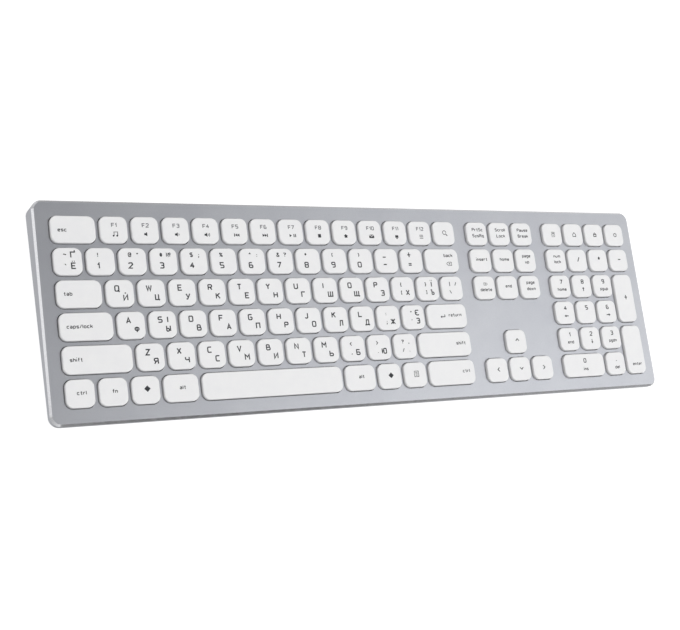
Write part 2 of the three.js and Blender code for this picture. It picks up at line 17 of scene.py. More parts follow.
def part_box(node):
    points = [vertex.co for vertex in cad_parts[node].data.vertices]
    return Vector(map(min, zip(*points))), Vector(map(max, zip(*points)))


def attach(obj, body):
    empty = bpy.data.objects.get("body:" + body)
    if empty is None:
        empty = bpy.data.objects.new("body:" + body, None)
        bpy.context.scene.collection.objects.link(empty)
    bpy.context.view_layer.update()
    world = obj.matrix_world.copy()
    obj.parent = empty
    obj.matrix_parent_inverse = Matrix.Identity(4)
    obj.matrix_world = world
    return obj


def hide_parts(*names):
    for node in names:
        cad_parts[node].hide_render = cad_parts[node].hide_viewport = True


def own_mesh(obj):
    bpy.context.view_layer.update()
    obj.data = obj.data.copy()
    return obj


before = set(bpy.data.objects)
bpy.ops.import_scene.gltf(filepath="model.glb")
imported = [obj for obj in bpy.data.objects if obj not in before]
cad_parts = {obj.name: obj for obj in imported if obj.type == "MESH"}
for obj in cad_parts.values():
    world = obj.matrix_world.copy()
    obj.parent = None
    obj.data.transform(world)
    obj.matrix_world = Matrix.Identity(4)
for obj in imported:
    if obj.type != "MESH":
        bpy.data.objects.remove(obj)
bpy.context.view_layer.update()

# ---- The deck's frame -----------------------------------------------------------------------
MM = 0.001
DESK = Matrix.Scale(MM, 4)


def deck_frame():
    """The matrix from the deck's millimetres to metres, read from the deck plate's largest face."""
    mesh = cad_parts["deck_plate"].data
    top = max((face for face in mesh.polygons if face.normal.z > 0.9), key=lambda face: face.area)
    out = top.normal.copy()
    across = Vector((1, 0, 0))
    rearward = out.cross(across)

    def middle(axis):
        reach = [vertex.co.dot(axis) for vertex in mesh.vertices]
        return (min(reach) + max(reach)) / 2

    origin = across * middle(across) + rearward * middle(rearward) + out * top.center.dot(out)
    turn = Matrix((across, rearward, out)).transposed().to_4x4()
    return Matrix.Translation(origin) @ turn @ DESK, out


DECK, DECK_OUT = deck_frame()
TO_DECK = DECK.inverted() @ DESK  # from the desk's millimetres to the deck's
FROM_METRES = DECK.inverted()


def corners_of(points):
    low = Vector(min(point[axis] for point in points) for axis in range(3))
    high = Vector(max(point[axis] for point in points) for axis in range(3))
    return low, high


def deck_box(node):
    """A node's lowest and highest corners in the deck's frame, in millimetres."""
    return corners_of([FROM_METRES @ vertex.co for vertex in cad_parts[node].data.vertices])


def desk_box(node):
    low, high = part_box(node)
    return low / MM, high / MM


def middle_of(low, high):
    return (low + high) / 2


def height_in_deck(v, z):
    """The w of the point at v whose height over the desk is z."""
    ground = TO_DECK.inverted() @ Vector((0, v, 0))
    rise = (TO_DECK.inverted() @ Vector((0, v, 1))).z - ground.z
    return (z - ground.z) / rise


# ---- Outlines laid in the deck's frame ------------------------------------------------------
def flat(outline, w):
    return [(u, v, w) for u, v in outline]


def level(outline, z):
    """An outline drawn along the deck, cut at a height over the desk."""
    return [(u, v, height_in_deck(v, z)) for u, v in outline]


def upright(outline, v):
    """An outline drawn in u and w, as seen from behind."""
    return [(u, v, w) for u, w in outline]


def over_desk(outline, z):
    """An outline drawn in x and y, at a height over the desk."""
    return [TO_DECK @ Vector((x, y, z)) for x, y in outline]


# ---- Solids from rings of points ------------------------------------------------------------
class Shape:
    """The points and faces of a piece. paint is a face's place in the piece's list of materials."""

    def __init__(self):
        self.points, self.faces, self.paints = [], [], []

    def ring(self, points):
        first = len(self.points)
        self.points.extend(Vector(point) for point in points)
        return list(range(first, len(self.points)))

    def face(self, corners, paint):
        self.faces.append(tuple(corners))
        self.paints.append(paint)

    def bridge(self, ring, other, paint=0, skip=None):
        """A wall between two rings of as many points, without the stretch after the point skip."""
        for i, corner in enumerate(ring):
            if i != skip:
                after = (i + 1) % len(ring)
                self.face((corner, ring[after], other[after], other[i]), paint)

    def stack(self, rings, paint=0):
        for ring, other in zip(rings, rings[1:]):
            self.bridge(ring, other, paint)

    def walls(self, outline, steps, lay=flat, paint=0):
        """Walls through the outline's rings, one for each (inset, place) step. Their rings."""
        rings = [self.ring(lay(outline(inset), place)) for inset, place in steps]
        self.stack(rings, paint)
        return rings

    def fill(self, ring, holes=(), paint=0):
        """A flat face inside a ring and around the rings of its holes."""
        if not holes:
            self.face(ring, paint)
            return
        order = [index for loop in (ring, *holes) for index in loop]
        loops = [[self.points[index] for index in loop] for loop in (ring, *holes)]
        for triangle in tessellate_polygon(loops):
            self.face([order[corner] for corner in triangle], paint)

    def close(self, rings):
        self.fill(rings[0])
        self.fill(rings[-1])

    def plate(self, outline, bottom, top, edge, holes=(), paint=0):
        """A flat piece with softened edges. outline and holes give their points for an inset."""
        def edged(at, sign):
            steps = [
                (sign * edge, bottom), (0, bottom + edge), (0, top - edge), (sign * edge, top),
            ]
            return self.walls(at, steps, paint=paint)
        outer = edged(outline, 1)
        inner = [edged(hole, -1) for hole in holes]
        self.fill(outer[0], [loops[0] for loops in inner], paint)
        self.fill(outer[-1], [loops[-1] for loops in inner], paint)


def rounded(u, v, width, depth, radius, steps):
    """The outline of a rounded rectangle, as a function of its inset."""
    def at(inset=0.0):
        half = (width / 2 - radius, depth / 2 - radius)
        points = []
        for quarter in range(4):
            right = 1 if quarter in (0, 3) else -1
            rear = 1 if quarter in (0, 1) else -1
            for step in range(steps + 1):
                angle = (quarter + step / steps) * math.pi / 2
                reach = radius - inset
                points.append((
                    u + right * half[0] + reach * math.cos(angle),
                    v + rear * half[1] + reach * math.sin(angle),
                ))
        return points
    return at


def curve(start, corner, end, steps):
    """Points from start to end, drawn towards a corner."""
    shares = [step / steps for step in range(steps + 1)]
    return [start.lerp(corner, a).lerp(corner.lerp(end, a), a) for a in shares]


def disc(u, v, radius, count=20):
    def at(inset=0.0):
        turns = [2 * math.pi * i / count for i in range(count)]
        reach = radius - inset
        return [(u + reach * math.cos(turn), v + reach * math.sin(turn)) for turn in turns]
    return at


SHARP_ANGLE = math.radians(30)


def finish_mesh(mesh, paints, place):
    """Faces out, and smooth but for sharp edges."""
    mesh.transform(place)
    for paint in paints:
        mesh.materials.append(paint)
    work = bmesh.new()
    work.from_mesh(mesh)
    bmesh.ops.recalc_face_normals(work, faces=work.faces)
    work.to_mesh(mesh)
    work.free()
    mesh.shade_smooth()
    mesh.set_sharp_from_angle(angle=SHARP_ANGLE)


def piece(name, mesh, body, nodes=()):
    shown = bpy.data.objects.new(name, mesh)
    bpy.context.scene.collection.objects.link(shown)
    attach(shown, body)
    if nodes:
        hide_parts(*nodes)
    return shown


def build(name, shape, paints, body, nodes=(), place=DECK):
    mesh = bpy.data.meshes.new(name)
    mesh.from_pydata(shape.points, [], shape.faces)
    mesh.polygons.foreach_set("material_index", shape.paints)
    finish_mesh(mesh, paints, place)
    return piece(name, mesh, body, nodes)


# ---- Materials ------------------------------------------------------------------------------
def screen_colour(values):
    """A colour given as screen values from 0 to 255."""
    def channel(value):
        share = value / 255
        return share / 12.92 if share <= 0.04045 else ((share + 0.055) / 1.055) ** 2.4
    return (*(channel(value) for value in values), 1)


def feed(tree, value, target):
    """Links a socket to an input, or sets the input to a constant."""
    if isinstance(value, bpy.types.NodeSocket):
        tree.links.new(value, target)
    else:
        target.default_value = value


def mixed(tree, kind, share, first, second):
    made = tree.nodes.new("ShaderNodeMix")
    made.data_type = "RGBA"
    made.blend_type = kind
    for socket, value in ((0, share), (6, first), (7, second)):
        feed(tree, value, made.inputs[socket])
    return made.outputs[2]


class Finish:
    """A Principled material whose tone, gloss and grain come from noise in the piece's metres."""

    def __init__(self, name, **sockets):
        self.material = bpy.data.materials.new(name)
        self.material.use_nodes = True
        self.tree = self.material.node_tree
        self.shader = self.tree.nodes["Principled BSDF"]
        self.place = self.tree.nodes.new("ShaderNodeTexCoord").outputs["Object"]
        for socket, value in sockets.items():
            self.shader.inputs[socket.replace("_", " ")].default_value = value

    def link(self, source, target):
        self.tree.links.new(source, self.shader.inputs[target])
        return self

    def node(self, kind, **inputs):
        made = self.tree.nodes.new("ShaderNode" + kind)
        for socket, value in inputs.items():
            feed(self.tree, value, made.inputs[socket.replace("_", " ")])
        return made

    def noise(self, size, detail=3.0):
        """Noise with features of that many millimetres."""
        scale = 1 / (size * MM)
        made = self.node("TexNoise", Vector=self.place, Scale=scale, Detail=detail, Roughness=0.55)
        return made.outputs["Fac"]

    def spread(self, source, low, high, start=0.3, end=0.7):
        """The source's span from start to end, spread from low to high."""
        made = self.node(
            "MapRange", Value=source, From_Min=start, From_Max=end, To_Min=low, To_Max=high
        )
        return made.outputs["Result"]

    def between(self, source, first, second, **span):
        """A colour from the first to the second, by the source."""
        share = self.spread(source, 0, 1, **span)
        return mixed(self.tree, "MIX", share, screen_colour(first), screen_colour(second))

    def tone(self, source, first, second, **span):
        return self.link(self.between(source, first, second, **span), "Base Color")

    def flecked_tone(self, source, first, second, flecks, share, fleck):
        """A tone with flecks of a colour of their own, which cover it up to that share."""
        tone = self.between(source, first, second)
        cover = self.spread(flecks, 0, share)
        return self.link(mixed(self.tree, "MIX", cover, tone, screen_colour(fleck)), "Base Color")

    def lines(self, per_metre, width, first, second):
        """A tone with a net of printed lines. Returns what tells the lines."""
        net = self.node("TexBrick", Vector=self.place, Scale=per_metre, Mortar_Size=width)
        self.tone(net.outputs["Fac"], first, second, start=0.4, end=0.6)
        return net.outputs["Fac"]

    def gloss(self, source, low, high):
        return self.link(self.spread(source, low, high), "Roughness")

    def grain(self, source, depth, strength):
        """Bumps of that depth, in millimetres."""
        made = self.node("Bump", Height=source, Strength=strength, Distance=depth * MM)
        return self.link(made.outputs["Normal"], "Normal")


def blasted_aluminium():
    made = Finish("blasted_aluminium", Metallic=1.0)
    beads = made.noise(0.35, detail=2)
    cloud = made.noise(26, detail=2)
    made.flecked_tone(cloud, (196, 198, 204), (202, 204, 209), beads, 0.35, (176, 178, 185))
    return made.gloss(beads, 0.36, 0.48).grain(beads, 0.012, 0.6).material


def cut_aluminium():
    """The rim's chamfer, cut bright, with faint marks of the cutter."""
    made = Finish("cut_aluminium", Metallic=1.0)
    marks = made.noise(0.8, detail=2)
    made.tone(marks, (228, 229, 232), (238, 239, 242))
    return made.gloss(made.noise(3), 0.15, 0.21).grain(marks, 0.0015, 0.5).material


def cap_plastic():
    made = Finish("cap_plastic", Specular_IOR_Level=0.42)
    texture = made.noise(0.22, detail=2)
    wear = made.noise(7, detail=4)
    made.flecked_tone(wear, (236, 236, 237), (240, 240, 240), texture, 0.3, (228, 228, 230))
    return made.gloss(wear, 0.42, 0.54).grain(texture, 0.006, 0.5).material


def ink(name, dark, light):
    made = Finish(name, Specular_IOR_Level=0.3)
    speckle = made.noise(0.18, detail=2)
    return made.tone(speckle, dark, light).gloss(speckle, 0.5, 0.62).material


def moulded(name, dark, light, rough=(0.5, 0.62), texture_size=0.3, depth=0.01):
    """Moulded plastic with a spark-eroded texture."""
    made = Finish(name)
    texture = made.noise(texture_size, detail=2)
    made.tone(made.noise(12), dark, light)
    return made.gloss(texture, *rough).grain(texture, depth, 0.7).material


def silicone():
    made = Finish("dome_silicone", Subsurface_Weight=0.25, Subsurface_Scale=0.001)
    cloud = made.noise(5)
    made.tone(cloud, (206, 211, 212), (222, 226, 226))
    return made.gloss(cloud, 0.45, 0.6).grain(made.noise(0.5), 0.01, 0.4).material


def printed_film():
    """Clear polyester with printed silver lines."""
    made = Finish("membrane_film")
    made.lines(160.0, 0.03, (196, 214, 206), (150, 152, 156))
    return made.gloss(made.noise(9), 0.2, 0.34).material


def solder_mask():
    """A board's green mask with copper lines under it."""
    made = Finish("board_laminate")
    lines = made.lines(420.0, 0.08, (22, 84, 50), (40, 118, 70))
    raised = made.spread(lines, 0, 1, 0.4, 0.6)
    return made.gloss(made.noise(4), 0.25, 0.4).grain(raised, 0.02, 0.5).material


def plated_steel(name, dark, light, rough=(0.28, 0.42), size=0.3):
    made = Finish(name, Metallic=1.0)
    marks = made.noise(size, detail=4)
    return made.tone(marks, dark, light).gloss(marks, *rough).grain(marks, 0.004, 0.5).material


def zinc_sheet():
    """Galvanised sheet with its crystal flakes."""
    made = Finish("zinc_sheet", Metallic=1.0)
    flakes = made.node("TexVoronoi", Vector=made.place, Scale=180.0)
    shade = made.node("SeparateColor", Color=flakes.outputs["Color"]).outputs[0]
    ends = screen_colour((150, 154, 158)), screen_colour((186, 189, 192))
    made.link(mixed(made.tree, "MIX", shade, *ends), "Base Color")
    return made.gloss(shade, 0.3, 0.5).material


def foil():
    made = Finish("cell_foil", Metallic=0.8)
    creases = made.noise(3.5, detail=5)
    made.tone(creases, (166, 170, 174), (196, 199, 202))
    return made.gloss(creases, 0.3, 0.46).grain(creases, 0.08, 0.5).material


FLOOR_DARK = (0.29, 0.29, 0.29, 1)
FLOOR_LIGHT = (0.31, 0.31, 0.31, 1)
FLOOR_GLOW = 0.9


def floor_paper():
    white = (1, 1, 1, 1)
    made = Finish(
        "floor_paper", Specular_IOR_Level=0.0, Roughness=0.9,
        Emission_Color=white, Emission_Strength=FLOOR_GLOW,
    )
    share = made.spread(made.noise(1.5), 0, 1)
    return made.link(mixed(made.tree, "MIX", share, FLOOR_DARK, FLOOR_LIGHT), "Base Color").material


ALUMINIUM = blasted_aluminium()
CUT_RIM = cut_aluminium()
CAP = cap_plastic()
INK = ink("legend_ink", (46, 47, 50), (60, 61, 65))
LIGHT_INK = ink("light_ink", (104, 105, 108), (118, 119, 123))
COVER = moulded("cover_plastic", (176, 178, 183), (186, 188, 193))
BLACK = moulded("guide_plastic", (30, 31, 33), (42, 43, 46), (0.38, 0.52))
KNOB = moulded("knob_plastic", (58, 59, 63), (68, 69, 74), (0.4, 0.5), 0.15)
CHIP = moulded("chip_epoxy", (24, 25, 27), (34, 35, 37), (0.35, 0.5), 0.2)
RUBBER = moulded("foot_rubber", (40, 41, 43), (54, 55, 57), (0.75, 0.9), 0.5, 0.03)
SILICONE = silicone()
FILM = printed_film()
ZINC = zinc_sheet()
MASK = solder_mask()
FOIL = foil()
PORT = plated_steel("port_steel", (150, 152, 156), (176, 178, 182), size=0.5)
SCREW = plated_steel("screw_steel", (120, 121, 124), (150, 151, 155), (0.24, 0.36), size=0.4)
WIRE = plated_steel("wire_steel", (158, 160, 163), (190, 192, 195), (0.2, 0.34))
GOLD = plated_steel("contact_gold", (206, 170, 96), (222, 188, 112), (0.18, 0.28))

# ---- The keys' places -----------------------------------------------------------------------
KEY_NODES = [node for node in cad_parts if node.endswith(("_key", "_keys", "space_bar"))]
KEY_NODES += [f"keypad_hotkey_{number}" for number in range(1, 5)]


def caps_of(node):
    """A node's caps as (u, v, width, depth), from their top faces: rear row first, from the left."""
    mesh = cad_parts[node].data
    top = deck_box(node)[1].z
    islands = []
    for polygon in mesh.polygons:
        corners = [FROM_METRES @ mesh.vertices[index].co for index in polygon.vertices]
        if min(corner.z for corner in corners) > top - 0.05:
            points = {(round(corner.x, 2), round(corner.y, 2)) for corner in corners}
            touching = [island for island in islands if island & points]
            islands = [island for island in islands if not island & points]
            islands.append(points.union(*touching))
    caps = []
    for island in islands:
        (left, right), (front, rear) = ((min(side), max(side)) for side in zip(*island))
        caps.append(((left + right) / 2, (front + rear) / 2, right - left, rear - front))
    return sorted(caps, key=lambda cap: (-round(cap[1]), cap[0]))


KEYS = {node: caps_of(node) for node in KEY_NODES}
ALL_KEYS = [cap for caps in KEYS.values() for cap in caps]
KEY_TOP = deck_box("space_bar")[1].z
STEM_BOTTOM = deck_box("esc_key")[0].z

# Stabiliser wires and the keys that they level. A tall key's wire runs along v.
WIRES = {
    "space_bar": "space_bar_wire",
    "keypad_0_key": "keypad_zero_wire",
    "keypad_plus_key": "keypad_plus_wire",
    "keypad_enter_key": "keypad_enter_wire",
}
WIRE_RADIUS = 0.5
WIRE_BEND = 1.1
WIRE_TIP = 3.0


def wire_plan(node):
    """A wire's box, whether it runs along v, half of its run, and its arms' reach across."""
    low, high = deck_box(node)
    width, depth = high.x - low.x, high.y - low.y
    half = max(width, depth) / 2 - WIRE_RADIUS
    return low, high, depth > width, half, min(width, depth) - 2 * WIRE_RADIUS


def along_wire(node, along, across, w):
    """A point given along the wire's run from its middle, and across from its tips' line."""
    low, high, tall, *_ = wire_plan(node)
    if tall:
        return Vector((low.x + WIRE_RADIUS + across, (low.y + high.y) / 2 + along, w))
    return Vector(((low.x + high.x) / 2 + along, low.y + WIRE_RADIUS + across, w))


# ---- Key caps -------------------------------------------------------------------------------
CAP_RADIUS = 4.2
CAP_STEPS = 7
CAP_FILLET = 0.6
FILLET_STEPS = 5
CAP_LAND = 0.08  # a narrow flat ring inside the fillet
CAP_EDGE = 0.2
CAP_HEIGHT = 3.8
CAP_WALL = 1.4
CEILING = KEY_TOP - 1.0
STEM_SIZE = 6.0
STEM_SOCKET = 3.4
STEM_EDGE = 0.2
SOCKET_DEPTH = 1.6
LUG_SIZE = 1.8
LUG_BOTTOM = -0.5
LUG_EDGE = 0.15


def cap_walls(shape, cap):
    """The cap's outside, from the edge of its flat top down and up to its ceiling inside."""
    skirt = KEY_TOP - CAP_HEIGHT
    steps = [(CAP_FILLET + CAP_LAND, KEY_TOP)]
    for turn in (i / FILLET_STEPS * math.pi / 2 for i in range(FILLET_STEPS + 1)):
        steps.append((
            CAP_FILLET * (1 - math.sin(turn)), KEY_TOP - CAP_FILLET * (1 - math.cos(turn)),
        ))
    steps += [
        (0, skirt + CAP_EDGE), (CAP_EDGE, skirt), (CAP_WALL - CAP_EDGE, skirt),
        (CAP_WALL, skirt + CAP_EDGE), (CAP_WALL, CEILING),
    ]
    return shape.walls(rounded(*cap, CAP_RADIUS, CAP_STEPS), steps)


def stem(shape, u, v):
    """The square stem with its socket. Returns its ring in the ceiling."""
    outside = shape.walls(rounded(u, v, STEM_SIZE, STEM_SIZE, 0.8, 3), [
        (0, CEILING), (0, STEM_BOTTOM + STEM_EDGE), (STEM_EDGE, STEM_BOTTOM),
    ])
    socket = shape.walls(rounded(u, v, STEM_SOCKET, STEM_SOCKET, 0.5, 3), [
        (-STEM_EDGE, STEM_BOTTOM), (0, STEM_BOTTOM + STEM_EDGE), (0, STEM_BOTTOM + SOCKET_DEPTH),
    ])
    shape.bridge(outside[-1], socket[0])
    shape.fill(socket[-1])
    return outside[0]


def lug(shape, u, v):
    rings = shape.walls(rounded(u, v, LUG_SIZE, LUG_SIZE, 0.4, 2), [
        (0, CEILING), (0, LUG_BOTTOM + LUG_EDGE), (LUG_EDGE, LUG_BOTTOM),
    ])
    shape.fill(rings[-1])
    return rings[0]


def key_caps(node):
    shape = Shape()
    for cap in KEYS[node]:
        rings = cap_walls(shape, cap)
        shape.fill(rings[0])
        under = [stem(shape, cap[0], cap[1])]
        if node in WIRES:
            wire = WIRES[node]
            reach = wire_plan(wire)[3] - WIRE_TIP / 2
            for side in (-1, 1):
                place = along_wire(wire, side * reach, 0, 0)
                under.append(lug(shape, place.x, place.y))
        shape.fill(rings[-1], under)
    build(node + "_caps", shape, [CAP], node, [node])


# ---- Legends --------------------------------------------------------------------------------
LEGEND_TOP = 0.03  # over the cap
LEGEND_DEPTH = 0.08
LETTER = 3.85  # heights of capitals
SIGN = 2.7
FUNCTION = 2.6
DIGIT = 3.2
WORD = 2.3
CORNER_U = 2.3  # from the legends' middle to their four corners
LEGEND_SHIFT = 0.8  # the legends stand a little to the right on their caps
REAR_V = 2.8
DIGIT_ROW_RISE = 1.1  # the signs over the digits stand that much further back
FRONT_V = -2.6
WORD_INSET = 4.3  # from a cap's end to a word that starts or ends there

# The lettering is drawn in strokes on a grid: a line stands on row 2, small letters reach row 6 and
# capitals row 8. Each pair is a column and a row in hexadecimal. A stroke that starts with r has
# round corners, and one that ends with o is closed.
GRID_ROWS = 6
STROKE = 1.35
COLUMN = 0.72
ROUNDING = 1.3
SPACING = 2.3
GLYPHS = {
    "A": "023862 1454", "B": "0208 r08585505 r05656202", "C": "r68080262", "D": "0208 r08686202",
    "E": "68080262 0555", "F": "680802 0555", "G": "r6808026265 3565", "H": "0208 6268 0565",
    "I": "3238", "J": "r58521213", "K": "0208 0568 2662", "L": "080262", "M": "0208457872",
    "N": "02086268", "O": "r02086862o", "P": "0208 r08686505", "Q": "r02086862o 4371",
    "R": "0208 r08686505 3562", "S": "r680805656202", "T": "0868 3832", "U": "r08026268",
    "V": "083268", "W": "0822476288", "X": "0268 0862", "Y": "083568 3532", "Z": "08680262",
    "0": "r02086862o", "1": "163832", "2": "07185867660262", "3": "r08686525 r25656202",
    "4": "480464 4642", "5": "680805 r05656202", "6": "r580802626505", "7": "086822",
    "8": "r05086865o r02056562o", "9": "r126268080565",
    "Й": "08026862 2a4a", "Ц": "08026261 5852", "Г": "680802", "Ш": "08028288 4842",
    "Щ": "08029291 4842 8882", "Ъ": "082822 r25656222", "Ф": "r04076764o 3832",
    "Ы": "0802 r05454202 6862", "П": "02086862", "Л": "0212286862", "Д": "01027271 12286862",
    "Ж": "084502 884582 4842", "Э": "r08686202 2565", "Я": "6268 r68080565 3502",
    "Ч": "r080565 6862", "И": "08026862", "Ь": "0802 r05656202", "Б": "680802 r05656202",
    "Ю": "0802 0535 r32388882o", "Ґ": "6a680802", "Ё": "68080262 0555 1a2a 4a5a",
    "Ї": "3238 1a2a 4a5a", "Є": "r687818070313226263 0545", "У": "0834 682202",
    "a": "r065652 r54040252", "b": "0802 r06565202", "c": "r56060252", "d": "5852 r56060252",
    "e": "r045456060252", "f": "r482822 0646", "g": "r52020656 r565000", "h": "0802 r065652",
    "i": "2226 2829", "k": "0802 5604 2552", "l": "2822", "m": "0206 r064642 r468682",
    "n": "0206 r065652", "o": "r02065652o", "p": "0600 r06565202", "q": "5650 r56060252",
    "r": "0206 0646", "s": "r560604545202", "t": "r282242 0646", "u": "r06025256",
    "w": "0612355266", "y": "0632 5610",
    "!": "3834 3332", "@": "r6202086864343666", '"': "2826 4846", "'": "3836",
    "#": "2822 4842 0666 0464", "№": "02084248 r65689895o 6393", "$": "r680805656202 3931",
    ";": "3635 3320", "%": "0268 r06082826o r42446462o", "^": "163856", ":": "3635 3332",
    "&": "621718484704024264", "?": "r0868663634 3332", "*": "3438 1557 1755", "(": "48272342",
    ")": "28474322", "_": "0262", "-": "0565", "+": "3832 0565", "=": "0666 0464",
    "{": "58383252 1535", "}": "18383212 3555", "[": "48282242", "]": "28484222", "|": "3931",
    "/": "1258", "\\": "1852", "<": "581552", ">": "185512", ",": "3321", ".": "3332",
    "~": "051626455566", "`": "2846",
}
# Cyrillic capitals that look like Latin ones, and З like a 3.
GLYPHS |= {lookalike: GLYPHS[plain] for lookalike, plain in zip("КЕНЗХВАРОСМТ", "KEH3XBAPOCMT")}

# Four signs to a cap: rear left, rear right, front left, front right.
QUARTERS = {
    "number_row_keys": [
        "~Ґ`Ё", "! 1 ", '@"2 ', "#№3 ", "$;4 ", "% 5 ", "^:6 ", "&?7 ", "* 8 ", "( 9 ", ") 0 ",
        "_ - ", "+ = ",
    ],
    "q_row_keys": [
        "Q  Й", "W  Ц", "E  У", "R  К", "T  Е", "Y  Н", "U  Г", "I  Ш", "O  Щ", "P  З", "{ [Х",
        "}Ї]Ъ", "|/\\ ",
    ],
    "a_row_keys": [
        "A  Ф", "SI Ы", "D  В", "F  А", "G  П", "H  Р", "J  О", "K  Л", "L  Д", ": ;Ж", "\"Є'Э",
    ],
    "z_row_keys": [
        "Z  Я", "X  Ч", "C  С", "V  М", "B  И", "N  Т", "M  Ь", "< ,Б", "> .Ю", "?,/.",
    ],
}

# Words as [(text, side, height on the cap)]: side -1 is the left end, 0 the middle, 1 the right.
WORDS = {
    "esc_key": [[("esc", -1, -0.6)]],
    "tab_key": [[("tab", -1, -0.2)]],
    "caps_lock_key": [[("caps/lock", -1, -0.2)]],
    "left_shift_key": [[("shift", -1, -0.2)]],
    "backspace_key": [[("back", 1, 3.2)]],
    "enter_key": [[("return", 1, 0.3)]],
    "right_shift_key": [[("shift", 1, 0.2)]],
    "left_modifier_keys": [[("ctrl", 0, 0)], [("fn", 0, 0)], [], [("alt", 0, 0)]],
    "right_modifier_keys": [[("alt", 0, 0.4)], [], [], [("ctrl", 1, 0.4)]],
    "navigation_keys": [
        [("PrtSc", 0, 2.5), ("SysRq", 0, -1.8)], [("Scroll", 0, 2.5), ("Lock", 0, -1.8)],
        [("Pause", 0, 2.5), ("Break", 0, -1.8)], [("insert", 0, 0.5)], [("home", 0, 0.5)],
        [("page", 0, 2.9), ("up", 0, -1.4)], [("delete", 0, -1.8)], [("end", 0, 0.5)],
        [("page", 0, 2.9), ("down", 0, -1.6)],
    ],
    "keypad_num_lock_key": [[("num", 0, 2.7), ("lock", 0, -1.4)]],
    "keypad_0_key": [[("ins", 0, -3)]],
    "keypad_point_key": [[("del", 0, -3)]],
    "keypad_enter_key": [[("enter", 0, -10.9)]],
}
WORDS |= {
    f"keypad_{digit}_key": [[(word, 0, -2.5)]]
    for digit, word in ((7, "home"), (9, "pgup"), (1, "end"), (3, "pgdn"))
}
SIGNS = {f"keypad_{digit}_key": (str(digit), 3.2) for digit in range(10)}
SIGNS |= {
    "keypad_point_key": (".", 3.2),
    "keypad_divide_key": ("/", 0.6),
    "keypad_multiply_key": ("*", 0.9),
    "keypad_minus_key": ("-", 0.5),
    "keypad_plus_key": ("+", 0.6),
}


def stroke(points, width, closed=False):
    """A line of that width through the points, as triangles with mitred joints."""
    path = [Vector(point) for point in points]
    count = len(path)
    sides = []
    for i, point in enumerate(path):
        before = point - path[i - 1] if i or closed else None
        after = path[(i + 1) % count] - point if i + 1 < count or closed else None
        ways = [way.normalized() for way in (before, after) if way]
        way = sum(ways, Vector((0, 0))).normalized()
        across = Vector((-way.y, way.x)) * width / 2 / max(way.dot(ways[0]), 0.45)
        sides.append((point + across, point - across))
    faces = []
    for (left, right), (next_left, next_right) in zip(sides, sides[1:] + sides[:closed]):
        faces += [[left, next_left, next_right], [left, next_right, right]]
    return faces


def softened(points, closed):
    """The path with each corner rounded."""
    path = []
    count = len(points)
    for i, corner in enumerate(points):
        if not closed and i in (0, count - 1):
            path.append(corner)
            continue
        ways = [points[i - 1] - corner, points[(i + 1) % count] - corner]
        reach = min(ROUNDING, ways[0].length / 2, ways[1].length / 2)
        start, end = (corner + way.normalized() * reach for way in ways)
        for point in curve(start, corner, end, 3):
            if not path or (point - path[-1]).length > 0.01:
                path.append(point)
    if closed and (path[0] - path[-1]).length < 0.01:
        path.pop()
    return path


def lettering(text, height, side=0):
    """The faces of a line of text on (0, 0) to its right (-1), around it (0) or to its left (1)."""
    unit = height / (GRID_ROWS + STROKE)
    faces, pen = [], 0.0
    for sign in text:
        strokes = GLYPHS.get(sign, "").split()
        columns = [int(column, 16) for line in strokes for column in line.strip("ro")[::2]]
        start, end = min(columns, default=0), max(columns, default=2)
        for line in strokes:
            digits = [int(digit, 16) for digit in line.strip("ro")]
            points = [
                Vector((pen + (column - start) * COLUMN, row - 2))
                for column, row in zip(digits[::2], digits[1::2])
            ]
            closed = line.endswith("o")
            if line.startswith("r"):
                points = softened(points, closed)
            faces += stroke(points, STROKE, closed)
        pen += (end - start) * COLUMN + SPACING
    width = pen - SPACING
    shift = Vector((-width * (side + 1) / 2, -GRID_ROWS / 2 if height != WORD else -GRID_ROWS / 3))
    return [[(point + shift) * unit for point in face] for face in faces]


def box_outline(width, depth):
    u, v = width / 2, depth / 2
    return [(-u, -v), (u, -v), (u, v), (-u, v)]


def arc(radius, start, end, u=0.0, v=0.0, count=10):
    angles = [math.radians(start + (end - start) * i / count) for i in range(count + 1)]
    return [(u + radius * math.cos(angle), v + radius * math.sin(angle)) for angle in angles]


def moved(faces, u=0.0, v=0.0, turn=0.0, size=1.0):
    spin = Matrix.Rotation(math.radians(turn), 2)
    return [[spin @ Vector(point) * size + Vector((u, v)) for point in face] for face in faces]


def chevron():
    return stroke([(-1.35, -0.7), (0, 0.7), (1.35, -0.7)], 0.6)


def arrow():
    """An arrow that points to the left."""
    return [[(-1.8, 0), (-0.2, -1.0), (-0.2, 1.0)], *stroke([(-0.2, 0), (1.7, 0)], 0.6)]


def speaker(waves):
    faces = [[(-1.8, -0.6), (-1.0, -0.6), (-1.0, 0.6), (-1.8, 0.6)],
             [(-1.0, -0.6), (0, -1.35), (0, 1.35), (-1.0, 0.6)]]
    for wave in range(waves):
        faces += stroke(arc(0.8 + 0.75 * wave, -45, 45), 0.34)
    return faces


def triangle(u, side):
    return [(u - 0.75 * side, -1.0), (u - 0.75 * side, 1.0), (u + 0.75 * side, 0)]


def bar(u):
    return [(u - 0.3, -1.0), (u + 0.3, -1.0), (u + 0.3, 1.0), (u - 0.3, 1.0)]


def lens():
    return stroke(arc(0.95, 0, 330, -0.3, 0.3), 0.3) + stroke([(0.4, -0.4), (1.3, -1.3)], 0.4)


def lozenge():
    return [[(-1.9, 0), (0, -1.9), (1.9, 0), (0, 1.9)]]


def menu_lines():
    frame_lines = stroke(box_outline(2.6, 3.0), 0.3, closed=True)
    rules = [stroke([(-0.7, v), (0.7, v)], 0.3) for v in (0.75, 0, -0.75)]
    return frame_lines + [face for rule in rules for face in rule]


